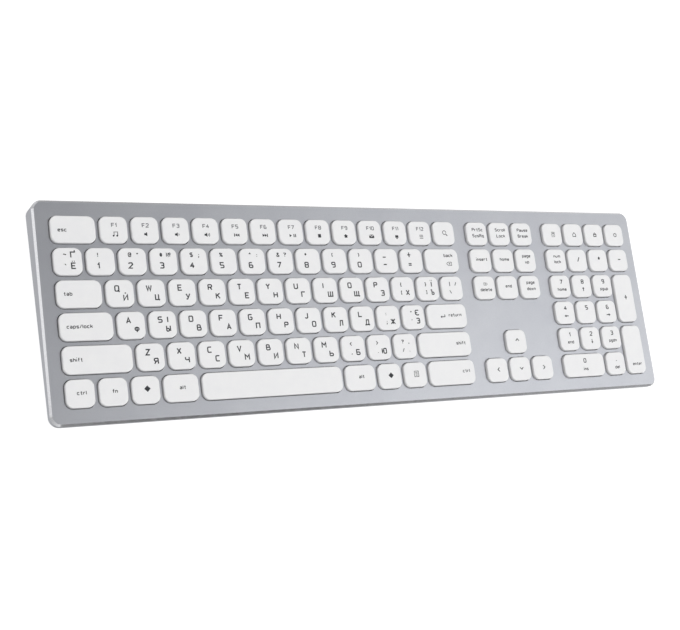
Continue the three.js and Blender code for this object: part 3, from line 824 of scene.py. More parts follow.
def calculator():
    pads = [moved([box_outline(0.36, 0.36)], u, v)[0]
            for u in (-0.5, 0.2, 0.8) for v in (-0.9, -0.2)]
    window = moved([box_outline(1.6, 0.7)], 0.1, 0.9)
    return stroke(box_outline(2.6, 3.4), 0.24, closed=True) + pads + window


def envelope():
    return [
        [(-1.8, -1.2), (1.8, -1.2), (1.8, 0.7), (0, -0.3), (-1.8, 0.7)],
        [(-1.6, 1.1), (0, 0.2), (1.6, 1.1)],
    ]


def house():
    return [[(-1.0, -1.1), (1.0, -1.1), (1.0, 0.1), (-1.0, 0.1)],
            [(-1.5, 0.1), (1.5, 0.1), (0, 1.3)]]


def padlock():
    body = stroke(box_outline(2.2, 1.6), 0.6, closed=True)
    return moved(body, v=-0.4) + stroke(arc(0.8, 0, 180, v=0.6), 0.4)


def notes():
    balls = [arc(0.45, 0, 324, u, -0.9, 9) for u in (-1.0, 0.8)]
    stems = stroke([(-0.65, -0.9), (-0.65, 1.0), (1.15, 1.0), (1.15, -0.9)], 0.3)
    return balls + stems


def screen():
    return [box_outline(2.3, 1.7), *moved([box_outline(1.3, 0.5)], v=-1.35)]


def eraser():
    """The backspace sign: a tag that points left, with a cross."""
    tag = [(-2.0, 0), (-0.9, -1.1), (1.9, -1.1), (1.9, 1.1), (-0.9, 1.1)]
    cross = [stroke([(-0.3, -v), (0.9, v)], 0.34) for v in (0.5, -0.5)]
    return stroke(tag, 0.34, closed=True) + cross[0] + cross[1]


def enter_arrow():
    head = [[(-2.0, -0.6), (-0.8, -1.5), (-0.8, 0.3)]]
    return head + stroke([(-0.8, -0.6), (1.5, -0.6), (1.5, 0.9)], 0.5)


def rules():
    """Three lines over each other."""
    return [face for v in (-0.8, 0, 0.8) for face in stroke([(-1.1, v), (1.1, v)], 0.3)]


def home():
    walls = [(-1.3, -1.4), (-1.3, 0.2), (0, 1.5), (1.3, 0.2), (1.3, -1.4)]
    return stroke(walls, 0.45, closed=True)


# The icons under the function keys' numbers, each with its place to the right.
FUNCTION_ICONS = [
    (moved(notes(), size=1.2), 0), (speaker(0), 0.2), (speaker(1), 0.2), (speaker(2), 0),
    ([triangle(-0.4, -1), triangle(1.0, -1), bar(-1.5)], 0.2),
    ([triangle(-1.0, 1), triangle(0.4, 1), bar(1.5)], 0.2),
    ([triangle(-1.5, 1), bar(0.8), bar(1.9)], 0.2), ([box_outline(2.1, 2.3)], 0), (house(), 0),
    (envelope(), 0), (screen(), 0), (moved(rules(), size=1.3), 0),
]
# Each node's icons: (cap's number, faces, u, v).
ICONS = {
    "function_keys": [
        *((number, faces, u, FRONT_V) for number, (faces, u) in enumerate(FUNCTION_ICONS)),
        (12, moved(lens(), size=1.4), 0, 0),
    ],
    "backspace_key": [(0, eraser(), 4.6, -2.3)],
    "enter_key": [(0, enter_arrow(), -4.1, 0.1)],
    "left_modifier_keys": [(2, lozenge(), 0, 0.6)],
    "right_modifier_keys": [(1, lozenge(), 0, 0.4), (2, moved(menu_lines(), size=1.2), 0, 0.4)],
    "navigation_keys": [(6, moved(eraser(), turn=180, size=0.75), 0, 2.4)],
    "arrow_keys": [
        (number, moved(chevron(), turn=90 * number), 0, 0.2 if number else 1.0)
        for number in range(4)
    ],
    "keypad_hotkey_1": [(0, calculator(), 0, 0)],
    "keypad_hotkey_2": [(0, home(), 0, 0)],
    "keypad_hotkey_3": [(0, padlock(), 0, 0)],
    "keypad_hotkey_4": [(0, stroke(arc(1.25, 0, 330, count=11), 0.5, closed=True), 0, 0)],
    "keypad_8_key": [(0, moved(arrow(), turn=-90, size=0.9), 0, -2.3)],
    "keypad_2_key": [(0, moved(arrow(), turn=90, size=0.9), 0, -2.3)],
    "keypad_4_key": [(0, arrow(), 0, -2.5)],
    "keypad_6_key": [(0, moved(arrow(), turn=180), 0, -2.5)],
}


def legends_of(node):
    """The faces of a node's legends, one list to each letter, line of text or icon."""
    legends = []
    corners = [(-CORNER_U, REAR_V), (CORNER_U, REAR_V), (-CORNER_U, FRONT_V), (CORNER_U, FRONT_V)]
    for number, (cap_u, v, width, _) in enumerate(KEYS[node]):
        u = cap_u + LEGEND_SHIFT
        for sign, (du, dv) in zip(QUARTERS[node][number] if node in QUARTERS else "", corners):
            if node == "number_row_keys" and dv > 0:
                dv += DIGIT_ROW_RISE
            height = LETTER if sign.isalnum() or sign in "-_+=" else SIGN
            legends.append(moved(lettering(sign, height), u + du, v + dv))
        for text, side, dv in WORDS[node][number] if node in WORDS else []:
            place = cap_u + side * (width / 2 - WORD_INSET) if side else u
            legends.append(moved(lettering(text, WORD, side), place, v + dv))
        if node in SIGNS:
            sign, dv = SIGNS[node]
            legends.append(moved(lettering(sign, DIGIT if sign.isdigit() else LETTER), u, v + dv))
    for number, faces, du, dv in ICONS.get(node, []):
        u, v = KEYS[node][number][:2]
        legends.append(moved(faces, u + LEGEND_SHIFT + du, v + dv))
    return [faces for faces in legends if faces]


def function_numbers():
    return [
        moved(lettering(f"F{number + 1}", FUNCTION), u + LEGEND_SHIFT / 2, v + REAR_V)
        for number, (u, v, _, _) in enumerate(KEYS["function_keys"][:12])
    ]


def joined(faces):
    """Overlapping faces as triangles that don't overlap."""
    points, loops = [], []
    for face in faces:
        face = [Vector(point) for point in face]
        area = sum(a.cross(b) for a, b in zip(face, face[1:] + face[:1])) / 2
        if abs(area) > 1e-6:
            loops.append(list(range(len(points), len(points) + len(face))))
            points += face if area > 0 else face[::-1]
    corners, _, triangles, _, _, origins = delaunay_2d_cdt(points, [], loops, 1, 1e-5)
    return corners, [triangle for triangle, origin in zip(triangles, origins) if origin]


def print_legends(name, legends, paint, body):
    """Flat letters and icons, given a little thickness, as one piece."""
    work = bmesh.new()
    for faces in legends:
        corners, triangles = joined(faces)
        bottom = KEY_TOP + LEGEND_TOP - LEGEND_DEPTH
        vertices = [work.verts.new((point.x, point.y, bottom)) for point in corners]
        for triangle in triangles:
            work.faces.new([vertices[corner] for corner in triangle])
    bmesh.ops.delete(work, geom=[vertex for vertex in work.verts if not vertex.link_faces])
    grown = bmesh.ops.extrude_face_region(work, geom=work.faces[:], use_keep_orig=True)["geom"]
    for part in grown:
        if isinstance(part, bmesh.types.BMVert):
            part.co.z += LEGEND_DEPTH
    mesh = bpy.data.meshes.new(name)
    work.to_mesh(mesh)
    work.free()
    finish_mesh(mesh, [paint], DECK)
    piece(name, mesh, body)


def all_legends():
    print_legends("function_keys_numbers", function_numbers(), LIGHT_INK, "function_keys")
    for node in KEY_NODES:
        legends = legends_of(node)
        if legends:
            print_legends(node + "_legends", legends, INK, node)


# ---- The deck's shell -----------------------------------------------------------------------
CORNER_RADIUS = 6.0
RIM_STEPS = 20
RIM_CHAMFER = 1.25
DECK_THICKNESS = 1.0
WALL = 1.5
WALL_EDGE = 0.25
HOLE_CLEARANCE = 0.45
HOLE_EDGE = 0.15
POST_RADIUS = 2.25
POST_BORE = 1.3
POST_DEPTH = 3.0
OPENING_GAP = 0.3
OPENING_EDGE = 0.15
SWITCH_SLOT = (7.0, 2.4)
SWITCH_TRAVEL = 3.0

deck_low, deck_high = deck_box("deck_plate")
DECK_WIDTH = deck_high.x - deck_low.x
DECK_DEPTH = deck_high.y - deck_low.y
WALL_FOOT = desk_box("deck_plate")[0].z
COVER_FLOOR = desk_box("bottom_cover")[0].z
COVER_THICKNESS = 1.2
COVER_TOP = COVER_FLOOR + COVER_THICKNESS
SCREWS = [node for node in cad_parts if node.startswith("screw_")]
FEET = [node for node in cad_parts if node.startswith("foot_")]


def post(shape, x, y):
    """A screw post from the deck's underside. Returns its ring there."""
    down = TO_DECK.to_3x3() @ Vector((0, 0, 1))
    foot = COVER_TOP + OPENING_GAP
    outside = disc(x, y, POST_RADIUS)
    starts = over_desk(outside(), foot)
    root = shape.ring(start + down * ((-DECK_THICKNESS - start.z) / down.z) for start in starts)
    rings = [root, shape.ring(starts)]
    shape.stack(rings)
    bore = shape.walls(disc(x, y, POST_BORE), [(0, foot), (0, foot + POST_DEPTH)], over_desk)
    shape.bridge(rings[-1], bore[0])
    shape.fill(bore[-1])
    return root


def rear_openings():
    """The charging port's and the switch's openings, as outlines in u and w."""
    low, high = deck_box("usb_port")
    port = middle_of(low, high)
    port_width, port_height = high.x - low.x + 2 * OPENING_GAP, high.z - low.z + 2 * OPENING_GAP
    low, high = deck_box("power_switch_knob")
    knob = middle_of(low, high)
    return [
        rounded(port.x, port.z, port_width, port_height, port_height / 2 - 0.05, 8),
        rounded(knob.x + SWITCH_TRAVEL / 2, knob.z, *SWITCH_SLOT, 0.6, 4),
    ]


def deck_shell():
    shape = Shape()
    rim = rounded(0, 0, DECK_WIDTH, DECK_DEPTH, CORNER_RADIUS, RIM_STEPS)
    top = shape.ring(flat(rim(RIM_CHAMFER), 0))
    side = shape.ring(flat(rim(0), -RIM_CHAMFER))
    lower = shape.ring(level(rim(0), WALL_FOOT + WALL_EDGE))
    inner_low = shape.ring(level(rim(WALL), WALL_FOOT + WALL_EDGE))
    inner_top = shape.ring(flat(rim(WALL), -DECK_THICKNESS))
    foot = [lower, shape.ring(level(rim(WALL_EDGE), WALL_FOOT)),
            shape.ring(level(rim(WALL - WALL_EDGE), WALL_FOOT)), inner_low]
    rear = RIM_STEPS  # the rear wall's straight stretch starts after this point
    shape.bridge(top, side, paint=1)
    shape.bridge(side, lower, skip=rear)
    shape.stack(foot)
    shape.bridge(inner_low, inner_top, skip=rear)

    above, under = [], []
    for u, v, width, depth in ALL_KEYS:
        wide, deep = width + 2 * HOLE_CLEARANCE, depth + 2 * HOLE_CLEARANCE
        hole = rounded(u, v, wide, deep, CAP_RADIUS + HOLE_CLEARANCE, CAP_STEPS)
        edge = shape.walls(hole, [(-HOLE_EDGE, 0), (0, -HOLE_EDGE)], paint=1)
        lower_edge = shape.ring(flat(hole(), -DECK_THICKNESS))
        shape.bridge(edge[1], lower_edge)
        above.append(edge[0])
        under.append(lower_edge)
    for screw in SCREWS:
        place = middle_of(*desk_box(screw))
        under.append(post(shape, place.x, place.y))
    shape.fill(top, above)
    shape.fill(inner_top, under)

    outer_face, inner_face = [], []
    face_v = DECK_DEPTH / 2
    for opening in rear_openings():
        steps = [(-OPENING_EDGE, face_v), (0, face_v - OPENING_EDGE), (0, face_v - WALL)]
        rings = shape.walls(opening, steps, upright)
        outer_face.append(rings[0])
        inner_face.append(rings[2])
    panel = (rear, rear + 1)
    shape.fill([*(side[i] for i in panel), *(lower[i] for i in reversed(panel))], outer_face)
    inner_ring = [*(inner_top[i] for i in panel), *(inner_low[i] for i in reversed(panel))]
    shape.fill(inner_ring, inner_face)
    build("deck_shell", shape, [ALUMINIUM, CUT_RIM], "casing", ["deck_plate"])


# ---- The cover, feet and screws -------------------------------------------------------------
# A foot's edge and shallow dish, from its side down: inset and height.
FOOT_PROFILE = [(0, 0.3), (0.1, 0.08), (0.35, 0), (1.2, 0), (1.5, 0.2)]
COVER_GAP = 0.35
COVER_EDGE = 0.3
COVER_LIP = 1.0
COVER_LIP_HEIGHT = 2.0
SCREW_HEAD = 1.9
HEAD_CLEARANCE = 0.3
HEAD_DEPTH = 1.05
HEAD_EDGE = 0.15
SHANK_RADIUS = 1.0
HEAD_HEIGHT = 0.7
THREAD_PITCH = 0.45
THREAD_ROOT = 0.82  # radius
CROSS_MOUTH = (1.8, 0.5)  # size and slot of the recess
CROSS_FLOOR = (1.3, 0.3)
CROSS_DEPTH = 0.45


def bottom_cover():
    shape = Shape()
    inset = WALL + COVER_GAP
    rim = rounded(0, 0, DECK_WIDTH - 2 * inset, DECK_DEPTH - 2 * inset, CORNER_RADIUS - inset, 12)
    lip_top = COVER_TOP + COVER_LIP_HEIGHT
    rings = shape.walls(rim, [
        (COVER_EDGE, COVER_FLOOR), (0, COVER_FLOOR + COVER_EDGE), (0, lip_top),
        (COVER_LIP, lip_top), (COVER_LIP, COVER_TOP),
    ], level)
    below, above = [], []
    seat = COVER_FLOOR + HEAD_DEPTH
    for screw in SCREWS:
        place = middle_of(*desk_box(screw))
        sink = disc(place.x, place.y, SCREW_HEAD + HEAD_CLEARANCE)
        steps = [(-HEAD_EDGE, COVER_FLOOR), (0, COVER_FLOOR + HEAD_EDGE), (0, seat)]
        holes = shape.walls(sink, steps, over_desk)
        hole = disc(place.x, place.y, SHANK_RADIUS + HEAD_CLEARANCE)
        holes += shape.walls(hole, [(0, seat), (0, COVER_TOP)], over_desk)
        shape.bridge(holes[2], holes[3])
        below.append(holes[0])
        above.append(holes[-1])
    shape.fill(rings[0], below)
    shape.fill(rings[-1], above)
    build("cover_shell", shape, [COVER], "casing", ["bottom_cover"])


def foot(node):
    low, high = desk_box(node)
    centre = middle_of(low, high)
    size = high - low
    outline = rounded(centre.x, centre.y, size.x, size.y, size.y / 2 - 0.05, 10)
    shape = Shape()
    steps = [(0, high.z)] + [(inset, low.z + rise) for inset, rise in FOOT_PROFILE]
    rings = shape.walls(outline, steps)
    shape.close(rings)
    build(node + "_pad", shape, [RUBBER], "casing", [node], DESK)


def cross_outline(x, y, size, slot):
    """The corners of a cross recess."""
    a, b = slot / 2, size / 2
    quarter = [(b, a), (a, a), (a, b)]
    points = []
    for turn in range(4):
        spin = Matrix.Rotation(turn * math.pi / 2, 2)
        points += [spin @ Vector(point) for point in quarter]
    return [(x + point.x, y + point.y) for point in points]


def screw(node):
    low, high = desk_box(node)
    centre = middle_of(low, high)
    shape = Shape()
    neck = low.z + HEAD_HEIGHT
    profile = [
        (SCREW_HEAD - 0.25, low.z), (SCREW_HEAD, low.z + 0.25), (SCREW_HEAD, neck),
        (SHANK_RADIUS, neck),
    ]
    z = neck + 0.1
    while z + THREAD_PITCH < high.z - 0.3:
        profile += [(THREAD_ROOT, z), (SHANK_RADIUS, z + THREAD_PITCH / 2)]
        z += THREAD_PITCH
    profile += [(THREAD_ROOT, high.z - 0.25), (SHANK_RADIUS - 0.5, high.z)]
    rings = shape.walls(disc(centre.x, centre.y, 0, 24), [(-radius, z) for radius, z in profile])
    shape.fill(rings[-1])
    mouth = shape.ring(flat(cross_outline(centre.x, centre.y, *CROSS_MOUTH), low.z))
    floor = shape.ring(flat(cross_outline(centre.x, centre.y, *CROSS_FLOOR), low.z + CROSS_DEPTH))
    shape.bridge(mouth, floor)
    shape.fill(floor)
    shape.fill(rings[0], [mouth])
    build(node + "_turned", shape, [SCREW], "casing", [node], DESK)


# ---- The rear wall's pieces -----------------------------------------------------------------
PORT_WALL = 0.32
PORT_EDGE = 0.08
PORT_BACK = 1.0  # from the socket's inner end to its floor
CONTACTS = 10
CONTACT_PITCH = 0.55
TONGUE = (6.6, 0.7, 4.6)  # across, thick, along the port


def usb_port():
    low, high = deck_box("usb_port")
    centre = middle_of(low, high)
    width, height = high.x - low.x, high.z - low.z
    shape = Shape()
    outside = rounded(centre.x, centre.z, width, height, height / 2 - 0.05, 8)
    back = low.y + PORT_BACK
    face = high.y - PORT_EDGE
    rings = shape.walls(outside, [
        (0.1, low.y), (0, low.y + 0.1), (0, face), (PORT_EDGE, high.y),
        (PORT_WALL - PORT_EDGE, high.y), (PORT_WALL, face), (PORT_WALL, back),
    ], upright)
    shape.fill(rings[0])
    across, thick, along = TONGUE
    tongue = rounded(centre.x, centre.z, across, thick, 0.2, 3)
    tip = back + along - 0.5
    inner = shape.walls(tongue, [(0, back), (0, tip - 0.2), (0.15, tip)], upright, paint=1)
    shape.fill(inner[-1], paint=1)
    shape.fill(rings[-1], [inner[0]], paint=1)
    for number in range(CONTACTS):
        u = centre.x + (number - (CONTACTS - 1) / 2) * CONTACT_PITCH
        for side in (-1, 1):
            w = centre.z + side * thick / 2
            pad = rounded(u, tip - 1.6, 0.28, 2.2, 0.06, 2)
            shape.plate(pad, w - 0.03, w + 0.03, 0.01, paint=2)
    build("usb_port_shell", shape, [PORT, CHIP, GOLD], "casing", ["usb_port"])


KNOB_SIZE = (3.4, 1.6)
KNOB_FLANGE = 0.8
KNOB_EDGE = 0.15
GROOVE_SIZE = (0.34, 1.0)
GROOVE_PITCH = 0.85
GROOVE_DEPTH = 0.25


def switch_knob():
    low, high = deck_box("power_switch_knob")
    centre = middle_of(low, high)
    shape = Shape()
    flange = rounded(centre.x, centre.z, high.x - low.x, high.z - low.z, 0.4, 4)
    stalk = rounded(centre.x, centre.z, *KNOB_SIZE, 0.3, 4)
    shoulder = low.y + KNOB_FLANGE
    plate = shape.walls(flange, [
        (0.1, low.y), (0, low.y + 0.1), (0, shoulder - 0.1), (0.1, shoulder),
    ], upright)
    shape.fill(plate[0])
    arm = shape.walls(stalk, [
        (0, shoulder), (0, high.y - KNOB_EDGE), (KNOB_EDGE, high.y),
    ], upright)
    shape.fill(plate[-1], [arm[0]])
    grooves = []
    for number in range(3):
        u = centre.x + (number - 1) * GROOVE_PITCH
        groove = rounded(u, centre.z, *GROOVE_SIZE, 0.12, 2)
        rings = shape.walls(groove, [(0, high.y), (0.04, high.y - GROOVE_DEPTH)], upright)
        shape.fill(rings[-1])
        grooves.append(rings[0])
    shape.fill(arm[-1], grooves)
    node = "power_switch_knob"
    build("power_switch_slider", shape, [KNOB], node, [node])


# ---- Inside the case ------------------------------------------------------------------------
GUIDE_PLATE = 0.5
SLEEVE_OUTER = 8.4
SLEEVE_INNER = 6.8
SLEEVE_EDGE = 0.15
CLIP_SIZE = 2.0
CLIP_THICKNESS = 0.6
CLIP_GAP = 0.15
CLIP_TOP = -2.3


def plan_of(node, radius=2.5, steps=6):
    """A node's outline along the deck, and its box."""
    low, high = deck_box(node)
    centre = middle_of(low, high)
    return rounded(centre.x, centre.y, high.x - low.x, high.y - low.y, radius, steps), low, high


def clip_places():
    """The clips' places beside each wire's run: (u, v, width, depth)."""
    places = []
    for wire in WIRES.values():
        _, _, tall, half, arm = wire_plan(wire)
        offset = WIRE_RADIUS + CLIP_GAP + CLIP_THICKNESS / 2
        for end in (-1, 1):
            for side in (-1, 1):
                place = along_wire(wire, end * (half - 2 * CLIP_SIZE), arm + side * offset, 0)
                size = (CLIP_THICKNESS, CLIP_SIZE) if tall else (CLIP_SIZE, CLIP_THICKNESS)
                places.append((place.x, place.y, *size))
    return places


def key_guide():
    outline, low, high = plan_of("key_guide_frame")
    bottom, plate_top, sleeve_top = low.z, low.z + GUIDE_PLATE, high.z
    shape = Shape()
    edge = shape.walls(outline, [(0, bottom), (0, plate_top)])
    below, above = [], []
    for u, v, _, _ in ALL_KEYS:
        outer = rounded(u, v, SLEEVE_OUTER, SLEEVE_OUTER, 1.0, 3)
        bore = rounded(u, v, SLEEVE_INNER, SLEEVE_INNER, 0.3, 3)
        rings = shape.walls(outer, [
            (-0.3, plate_top), (0, plate_top + 0.3), (0, sleeve_top - SLEEVE_EDGE),
            (SLEEVE_EDGE, sleeve_top),
        ])
        rings += shape.walls(bore, [
            (-SLEEVE_EDGE, sleeve_top), (0, sleeve_top - SLEEVE_EDGE), (0, bottom),
        ])
        shape.bridge(rings[3], rings[4])
        above.append(rings[0])
        below.append(rings[-1])
    for place in clip_places():
        clip = rounded(*place, 0.1, 2)
        rings = shape.walls(clip, [(0, plate_top), (0, CLIP_TOP - 0.1), (0.08, CLIP_TOP)])
        shape.fill(rings[-1])
        above.append(rings[0])
    shape.fill(edge[0], below)
    shape.fill(edge[1], above)
    build("key_guide", shape, [BLACK], "casing", ["key_guide_frame"])


DOME_SHEET = 0.25
DOME_PROFILE = [  # radius and height as shares: the foot's radius, and the dome's height
    (1.0, 0.0), (0.98, 0.05), (0.9, 0.12), (0.8, 0.5), (0.68, 0.78), (0.62, 0.94), (0.56, 1.0),
    (0.28, 1.0), (0.22, 0.9),
]
DOME_RADIUS = 2.8


def dome_mat():
    outline, low, high = plan_of("dome_sheet")
    root = low.z + DOME_SHEET
    sheet = Shape()
    sheet.plate(outline, low.z, root, 0.05)
    build("dome_mat", sheet, [SILICONE], "casing", ["dome_sheet"])
    for node in KEY_NODES:
        domes = Shape()
        for u, v, _, _ in KEYS[node]:
            steps = [(0, root - 0.05)]
            for share, height in DOME_PROFILE:
                steps.append((DOME_RADIUS * (1 - share), root + height * (high.z - root)))
            rings = domes.walls(disc(u, v, DOME_RADIUS), steps)
            domes.close(rings)
        dome = build(node + "_domes", domes, [SILICONE], "casing")
        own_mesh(dome)


# Each vented sheet under the keys: its name, finish, slot, edge and vents' radius.
SHEETS = {
    "contact_membrane": ("contact_film", FILM, "membrane_film", 0.03, 1.2),
    "backing_plate": ("backing_sheet", ZINC, "steel_sheet", 0.08, 1.5),
}
VENT_BEHIND = 6.5  # from a key's middle


def sheets():
    for node, (name, paint, slot, edge, vent) in SHEETS.items():
        outline, low, high = plan_of(node)
        shape = Shape()
        vents = [disc(u, v + VENT_BEHIND, vent, 12) for u, v, _, _ in ALL_KEYS]
        shape.plate(outline, low.z, high.z, edge, vents)
        build(name, shape, [paint], "casing", [node])


def wires():
    """Each stabiliser wire: a round wire bent along its run, arms and tips."""
    for node in WIRES.values():
        low, high, _, half, arm = wire_plan(node)
        pivot, tip = low.z + WIRE_RADIUS, high.z - WIRE_RADIUS
        route = [
            along_wire(node, -half + WIRE_TIP, 0, tip), along_wire(node, -half, 0, tip),
            along_wire(node, -half, arm, pivot), along_wire(node, half, arm, pivot),
            along_wire(node, half, 0, tip), along_wire(node, half - WIRE_TIP, 0, tip),
        ]
        shape = Shape()
        tube(shape, bent(route, WIRE_BEND), WIRE_RADIUS * 0.98)
        build(node + "_bent", shape, [WIRE], node, [node])


def bent(route, radius):
    """The route with each corner rounded."""
    path = [route[0]]
    for before, corner, after in zip(route, route[1:], route[2:]):
        start = corner + (before - corner).normalized() * radius
        end = corner + (after - corner).normalized() * radius
        path += curve(start, corner, end, 6)
    return [*path, route[-1]]


TUBE_SIDES = 12


def tube(shape, path, radius):
    """A closed round tube along a path."""
    rings = []
    side = Vector((0.1, 0.2, 1))
    for i, point in enumerate(path):
        way = (path[min(i + 1, len(path) - 1)] - path[max(i - 1, 0)]).normalized()
        side = (side - way * side.dot(way)).normalized()
        other = way.cross(side)
        turns = [2 * math.pi * k / TUBE_SIDES for k in range(TUBE_SIDES)]
        rings.append(shape.ring(
            point + (side * math.cos(turn) + other * math.sin(turn)) * radius for turn in turns
        ))
    shape.stack(rings)
    shape.close(rings)


BOARD_THICKNESS = 1.0
BOARD_HOLE_INSET = 4.0
SWITCH_BODY = (8.6, 2.8)
SWITCH_BODY_INSET = 2.9  # from the board's rear edge to its middle
# Parts under the board, from its middle: (u, v, width, depth, height, paint).
BOARD_PARTS = [
    (3, -2, 7, 7, 0.9, 1), (38, 5, 12, 6, 0.4, 2), (42, -8, 6, 5, 2.4, 1),
    (-14, -4, 5, 4.4, 0.8, 1),
    (22, -4, 3.2, 1.6, 1.0, 2), (-32, -6, 3, 3, 0.8, 1), (-6, 6, 2, 1.2, 0.6, 2),
    (-9, 6, 2, 1.2, 0.6, 2),
    (-12, 6, 2, 1.2, 0.6, 2), (12, 6, 2, 1.2, 0.6, 2), (-22, 4, 1.6, 0.8, 0.5, 2),
]


def circuit_board():
    board, low, high = plan_of("circuit_board", 1.5, 5)
    centre = middle_of(low, high)
    under = high.z - BOARD_THICKNESS
    shape = Shape()
    reach = (high.x - low.x) / 2 - BOARD_HOLE_INSET
    holes = [disc(centre.x + side * reach, low.y + BOARD_HOLE_INSET, 1.3, 16) for side in (-1, 1)]
    shape.plate(board, under, high.z, 0.06, holes)
    for u, v, width, depth, height, paint in BOARD_PARTS:
        part = rounded(centre.x + u, centre.y + v, width, depth, 0.25, 3)
        shape.plate(part, under - height, under + 0.02, 0.08, paint=paint)
    knob = middle_of(*deck_box("power_switch_knob"))
    switch = rounded(knob.x, high.y - SWITCH_BODY_INSET, *SWITCH_BODY, 0.3, 3)
    shape.plate(switch, low.z, under + 0.02, 0.1, paint=2)
    build("controller_board", shape, [MASK, CHIP, PORT], "casing",
          ["circuit_board"])


# Half the height of the pouch's seam, where it leaves the pouch and at its edge.
SEAM_ROOT = 0.15
SEAM_EDGE = 0.12


def battery():
    pouch, low, high = plan_of("battery")
    middle = (low.z + high.z) / 2
    shape = Shape()
    below = [(2.4, low.z), (1.7, low.z + 0.25), (1.3, low.z + 0.9), (1.2, middle - SEAM_ROOT)]
    seam = [(0, middle - SEAM_EDGE), (0, middle + SEAM_EDGE)]
    above = [(inset, low.z + high.z - w) for inset, w in reversed(below)]
    shape.close(shape.walls(pouch, below + seam + above))
    build("battery_pouch", shape, [FOIL], "casing", ["battery"])


# ---- Floor, light and camera ----------------------------------------------------------------
# The floor runs flat and then rises all around: (distance from the middle, height), from its rim.
FLOOR_PROFILE = [
    (6.7, 6), (6.7, 2.8), (6.5, 1.7), (6.1, 0.9), (5.5, 0.4), (4.8, 0.1), (4.0, 0), (1.5, 0),
    (0.6, 0),
]
# The studio's brightness by direction, each from -1 to 1, as shares of its peak. A broad soft light
# stands high on the right, the walls are pale, and a dark screen stands low at the front right.
STUDIO_PEAK = 1.92
SOFT_LIGHT_RIGHT = [
    (-1.0, 0.6), (-0.6, 0.45), (-0.2, 0.16), (0.05, 0.05), (0.24, 0.19), (0.43, 0.8), (0.6, 1.0),
    (0.75, 0.5), (1.0, 0.45),
]
SOFT_LIGHT_REAR = [
    (-1.0, 0.8), (-0.5, 1.17), (0.06, 1.17), (0.15, 0.73), (0.25, 0.4), (0.45, 0.4), (0.7, 0.8),
    (1.0, 0.8),
]
CEILING_BY_RISE = [(0.4, 0.0), (0.62, 1.0)]
WALLS_BY_RIGHT = [(-1.0, 0.26), (-0.4, 0.34), (0.1, 0.46)]
WALLS_BY_RISE = [(-0.04, 0.0), (0.04, 1.0)]
BELOW_BY_RIGHT = [(-0.24, 0.37), (0.1, 0.22), (0.35, 0.22), (0.6, 0.36)]
SCREEN_BY_RISE = [(-0.16, 0.0), (-0.06, 1.0), (0.11, 1.0), (0.18, 0.0)]
SCREEN_BY_RIGHT = [(0.05, 0.0), (0.25, 1.0), (0.4, 1.0), (0.75, 0.6), (0.9, 0.0)]
SCREEN_BY_REAR = [(-0.66, 1.0), (-0.5, 0.0)]
SCREEN_SHARE = 0.85


def floor():
    shape = Shape()
    rings = [shape.ring(flat(disc(0, 0, reach, 48)(), rise)) for reach, rise in FLOOR_PROFILE]
    shape.stack(rings)
    shape.fill(rings[-1])
    mesh = bpy.data.meshes.new("floor")
    mesh.from_pydata(shape.points, [], shape.faces)
    mesh.materials.append(floor_paper())
    mesh.shade_smooth()
    shown = bpy.data.objects.new("floor", mesh)
    bpy.context.scene.collection.objects.link(shown)
    shown.visible_diffuse = shown.visible_glossy = shown.visible_shadow = False


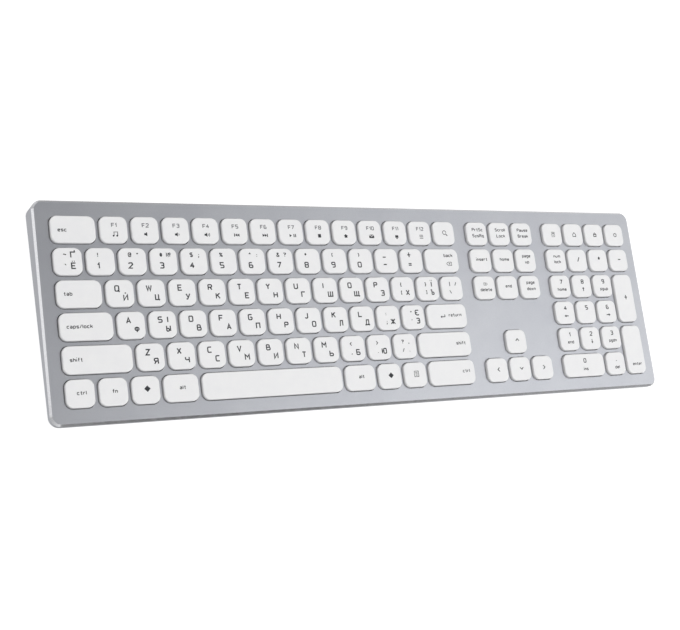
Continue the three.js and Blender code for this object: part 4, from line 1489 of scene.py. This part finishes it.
def studio():
    world = bpy.data.worlds.new("studio")
    bpy.context.scene.world = world
    world.use_nodes = True
    tree = world.node_tree
    split = tree.nodes.new("ShaderNodeSeparateXYZ")
    feed(tree, tree.nodes.new("ShaderNodeTexCoord").outputs["Generated"], split.inputs[0])

    def ramp(axis, stops):
        share = tree.nodes.new("ShaderNodeMapRange")
        share.inputs["From Min"].default_value = -1
        feed(tree, split.outputs[axis], share.inputs["Value"])
        made = tree.nodes.new("ShaderNodeValToRGB")
        feed(tree, share.outputs["Result"], made.inputs["Fac"])
        elements = made.color_ramp.elements
        elements.remove(elements[1])
        for number, (way, glow) in enumerate(stops):
            stop = elements[0] if number == 0 else elements.new((way + 1) / 2)
            stop.position = (way + 1) / 2
            stop.color = (glow, glow, glow, 1)
        return made.outputs["Color"]

    def product(first, second):
        return mixed(tree, "MULTIPLY", 1, first, second)

    ceiling = product(ramp("X", SOFT_LIGHT_RIGHT), ramp("Y", SOFT_LIGHT_REAR))
    below, above = ramp("X", BELOW_BY_RIGHT), ramp("X", WALLS_BY_RIGHT)
    walls = mixed(tree, "MIX", ramp("Z", WALLS_BY_RISE), below, above)
    room = mixed(tree, "MIX", ramp("Z", CEILING_BY_RISE), walls, ceiling)
    screen = product(ramp("X", SCREEN_BY_RIGHT), ramp("Y", SCREEN_BY_REAR))
    screen = product(screen, ramp("Z", SCREEN_BY_RISE))
    dark = product(room, (*[1 - SCREEN_SHARE] * 3, 1))
    background = tree.nodes["Background"]
    feed(tree, mixed(tree, "MIX", screen, room, dark), background.inputs["Color"])
    background.inputs["Strength"].default_value = STUDIO_PEAK


def softbox(name, place, size, watts):
    """A round light that looks at the middle of the desk."""
    light = bpy.data.lights.new(name, "AREA")
    light.shape = "DISK"
    light.size = size
    light.energy = watts
    lamp = bpy.data.objects.new(name, light)
    lamp.location = place
    lamp.rotation_euler = Vector(place).to_track_quat("Z", "Y").to_euler()
    bpy.context.scene.collection.objects.link(lamp)
    return lamp


CAMERA_PLACE = (-0.38457, -0.19987, 0.64225)
CAMERA_TURN = (18.497, -26.874, -10.761)  # in degrees
CAMERA_LENS = 62.52
CAMERA_SHIFT = (-0.0199, 0.0438)


def camera():
    data = bpy.data.cameras.new("camera")
    data.lens = CAMERA_LENS
    data.shift_x, data.shift_y = CAMERA_SHIFT
    data.clip_start = 0.01
    shown = bpy.data.objects.new("camera", data)
    shown.location = CAMERA_PLACE
    shown.rotation_euler = [math.radians(turn) for turn in CAMERA_TURN]
    bpy.context.scene.collection.objects.link(shown)
    bpy.context.scene.camera = shown


camera()
floor()
studio()
softbox("rim_light", (-1.6, 0.4, 0.42), 0.7, 0.55)
overhead = softbox("overhead", (0.5, -0.3, 1.6), 1.0, 9.9)
overhead.visible_glossy = False
bpy.context.scene.view_settings.view_transform = "Standard"

deck_shell()
bottom_cover()
for node in KEY_NODES:
    key_caps(node)
all_legends()
for node in FEET:
    foot(node)
for node in SCREWS:
    screw(node)
usb_port()
switch_knob()
key_guide()
dome_mat()
sheets()
wires()
circuit_board()
battery()
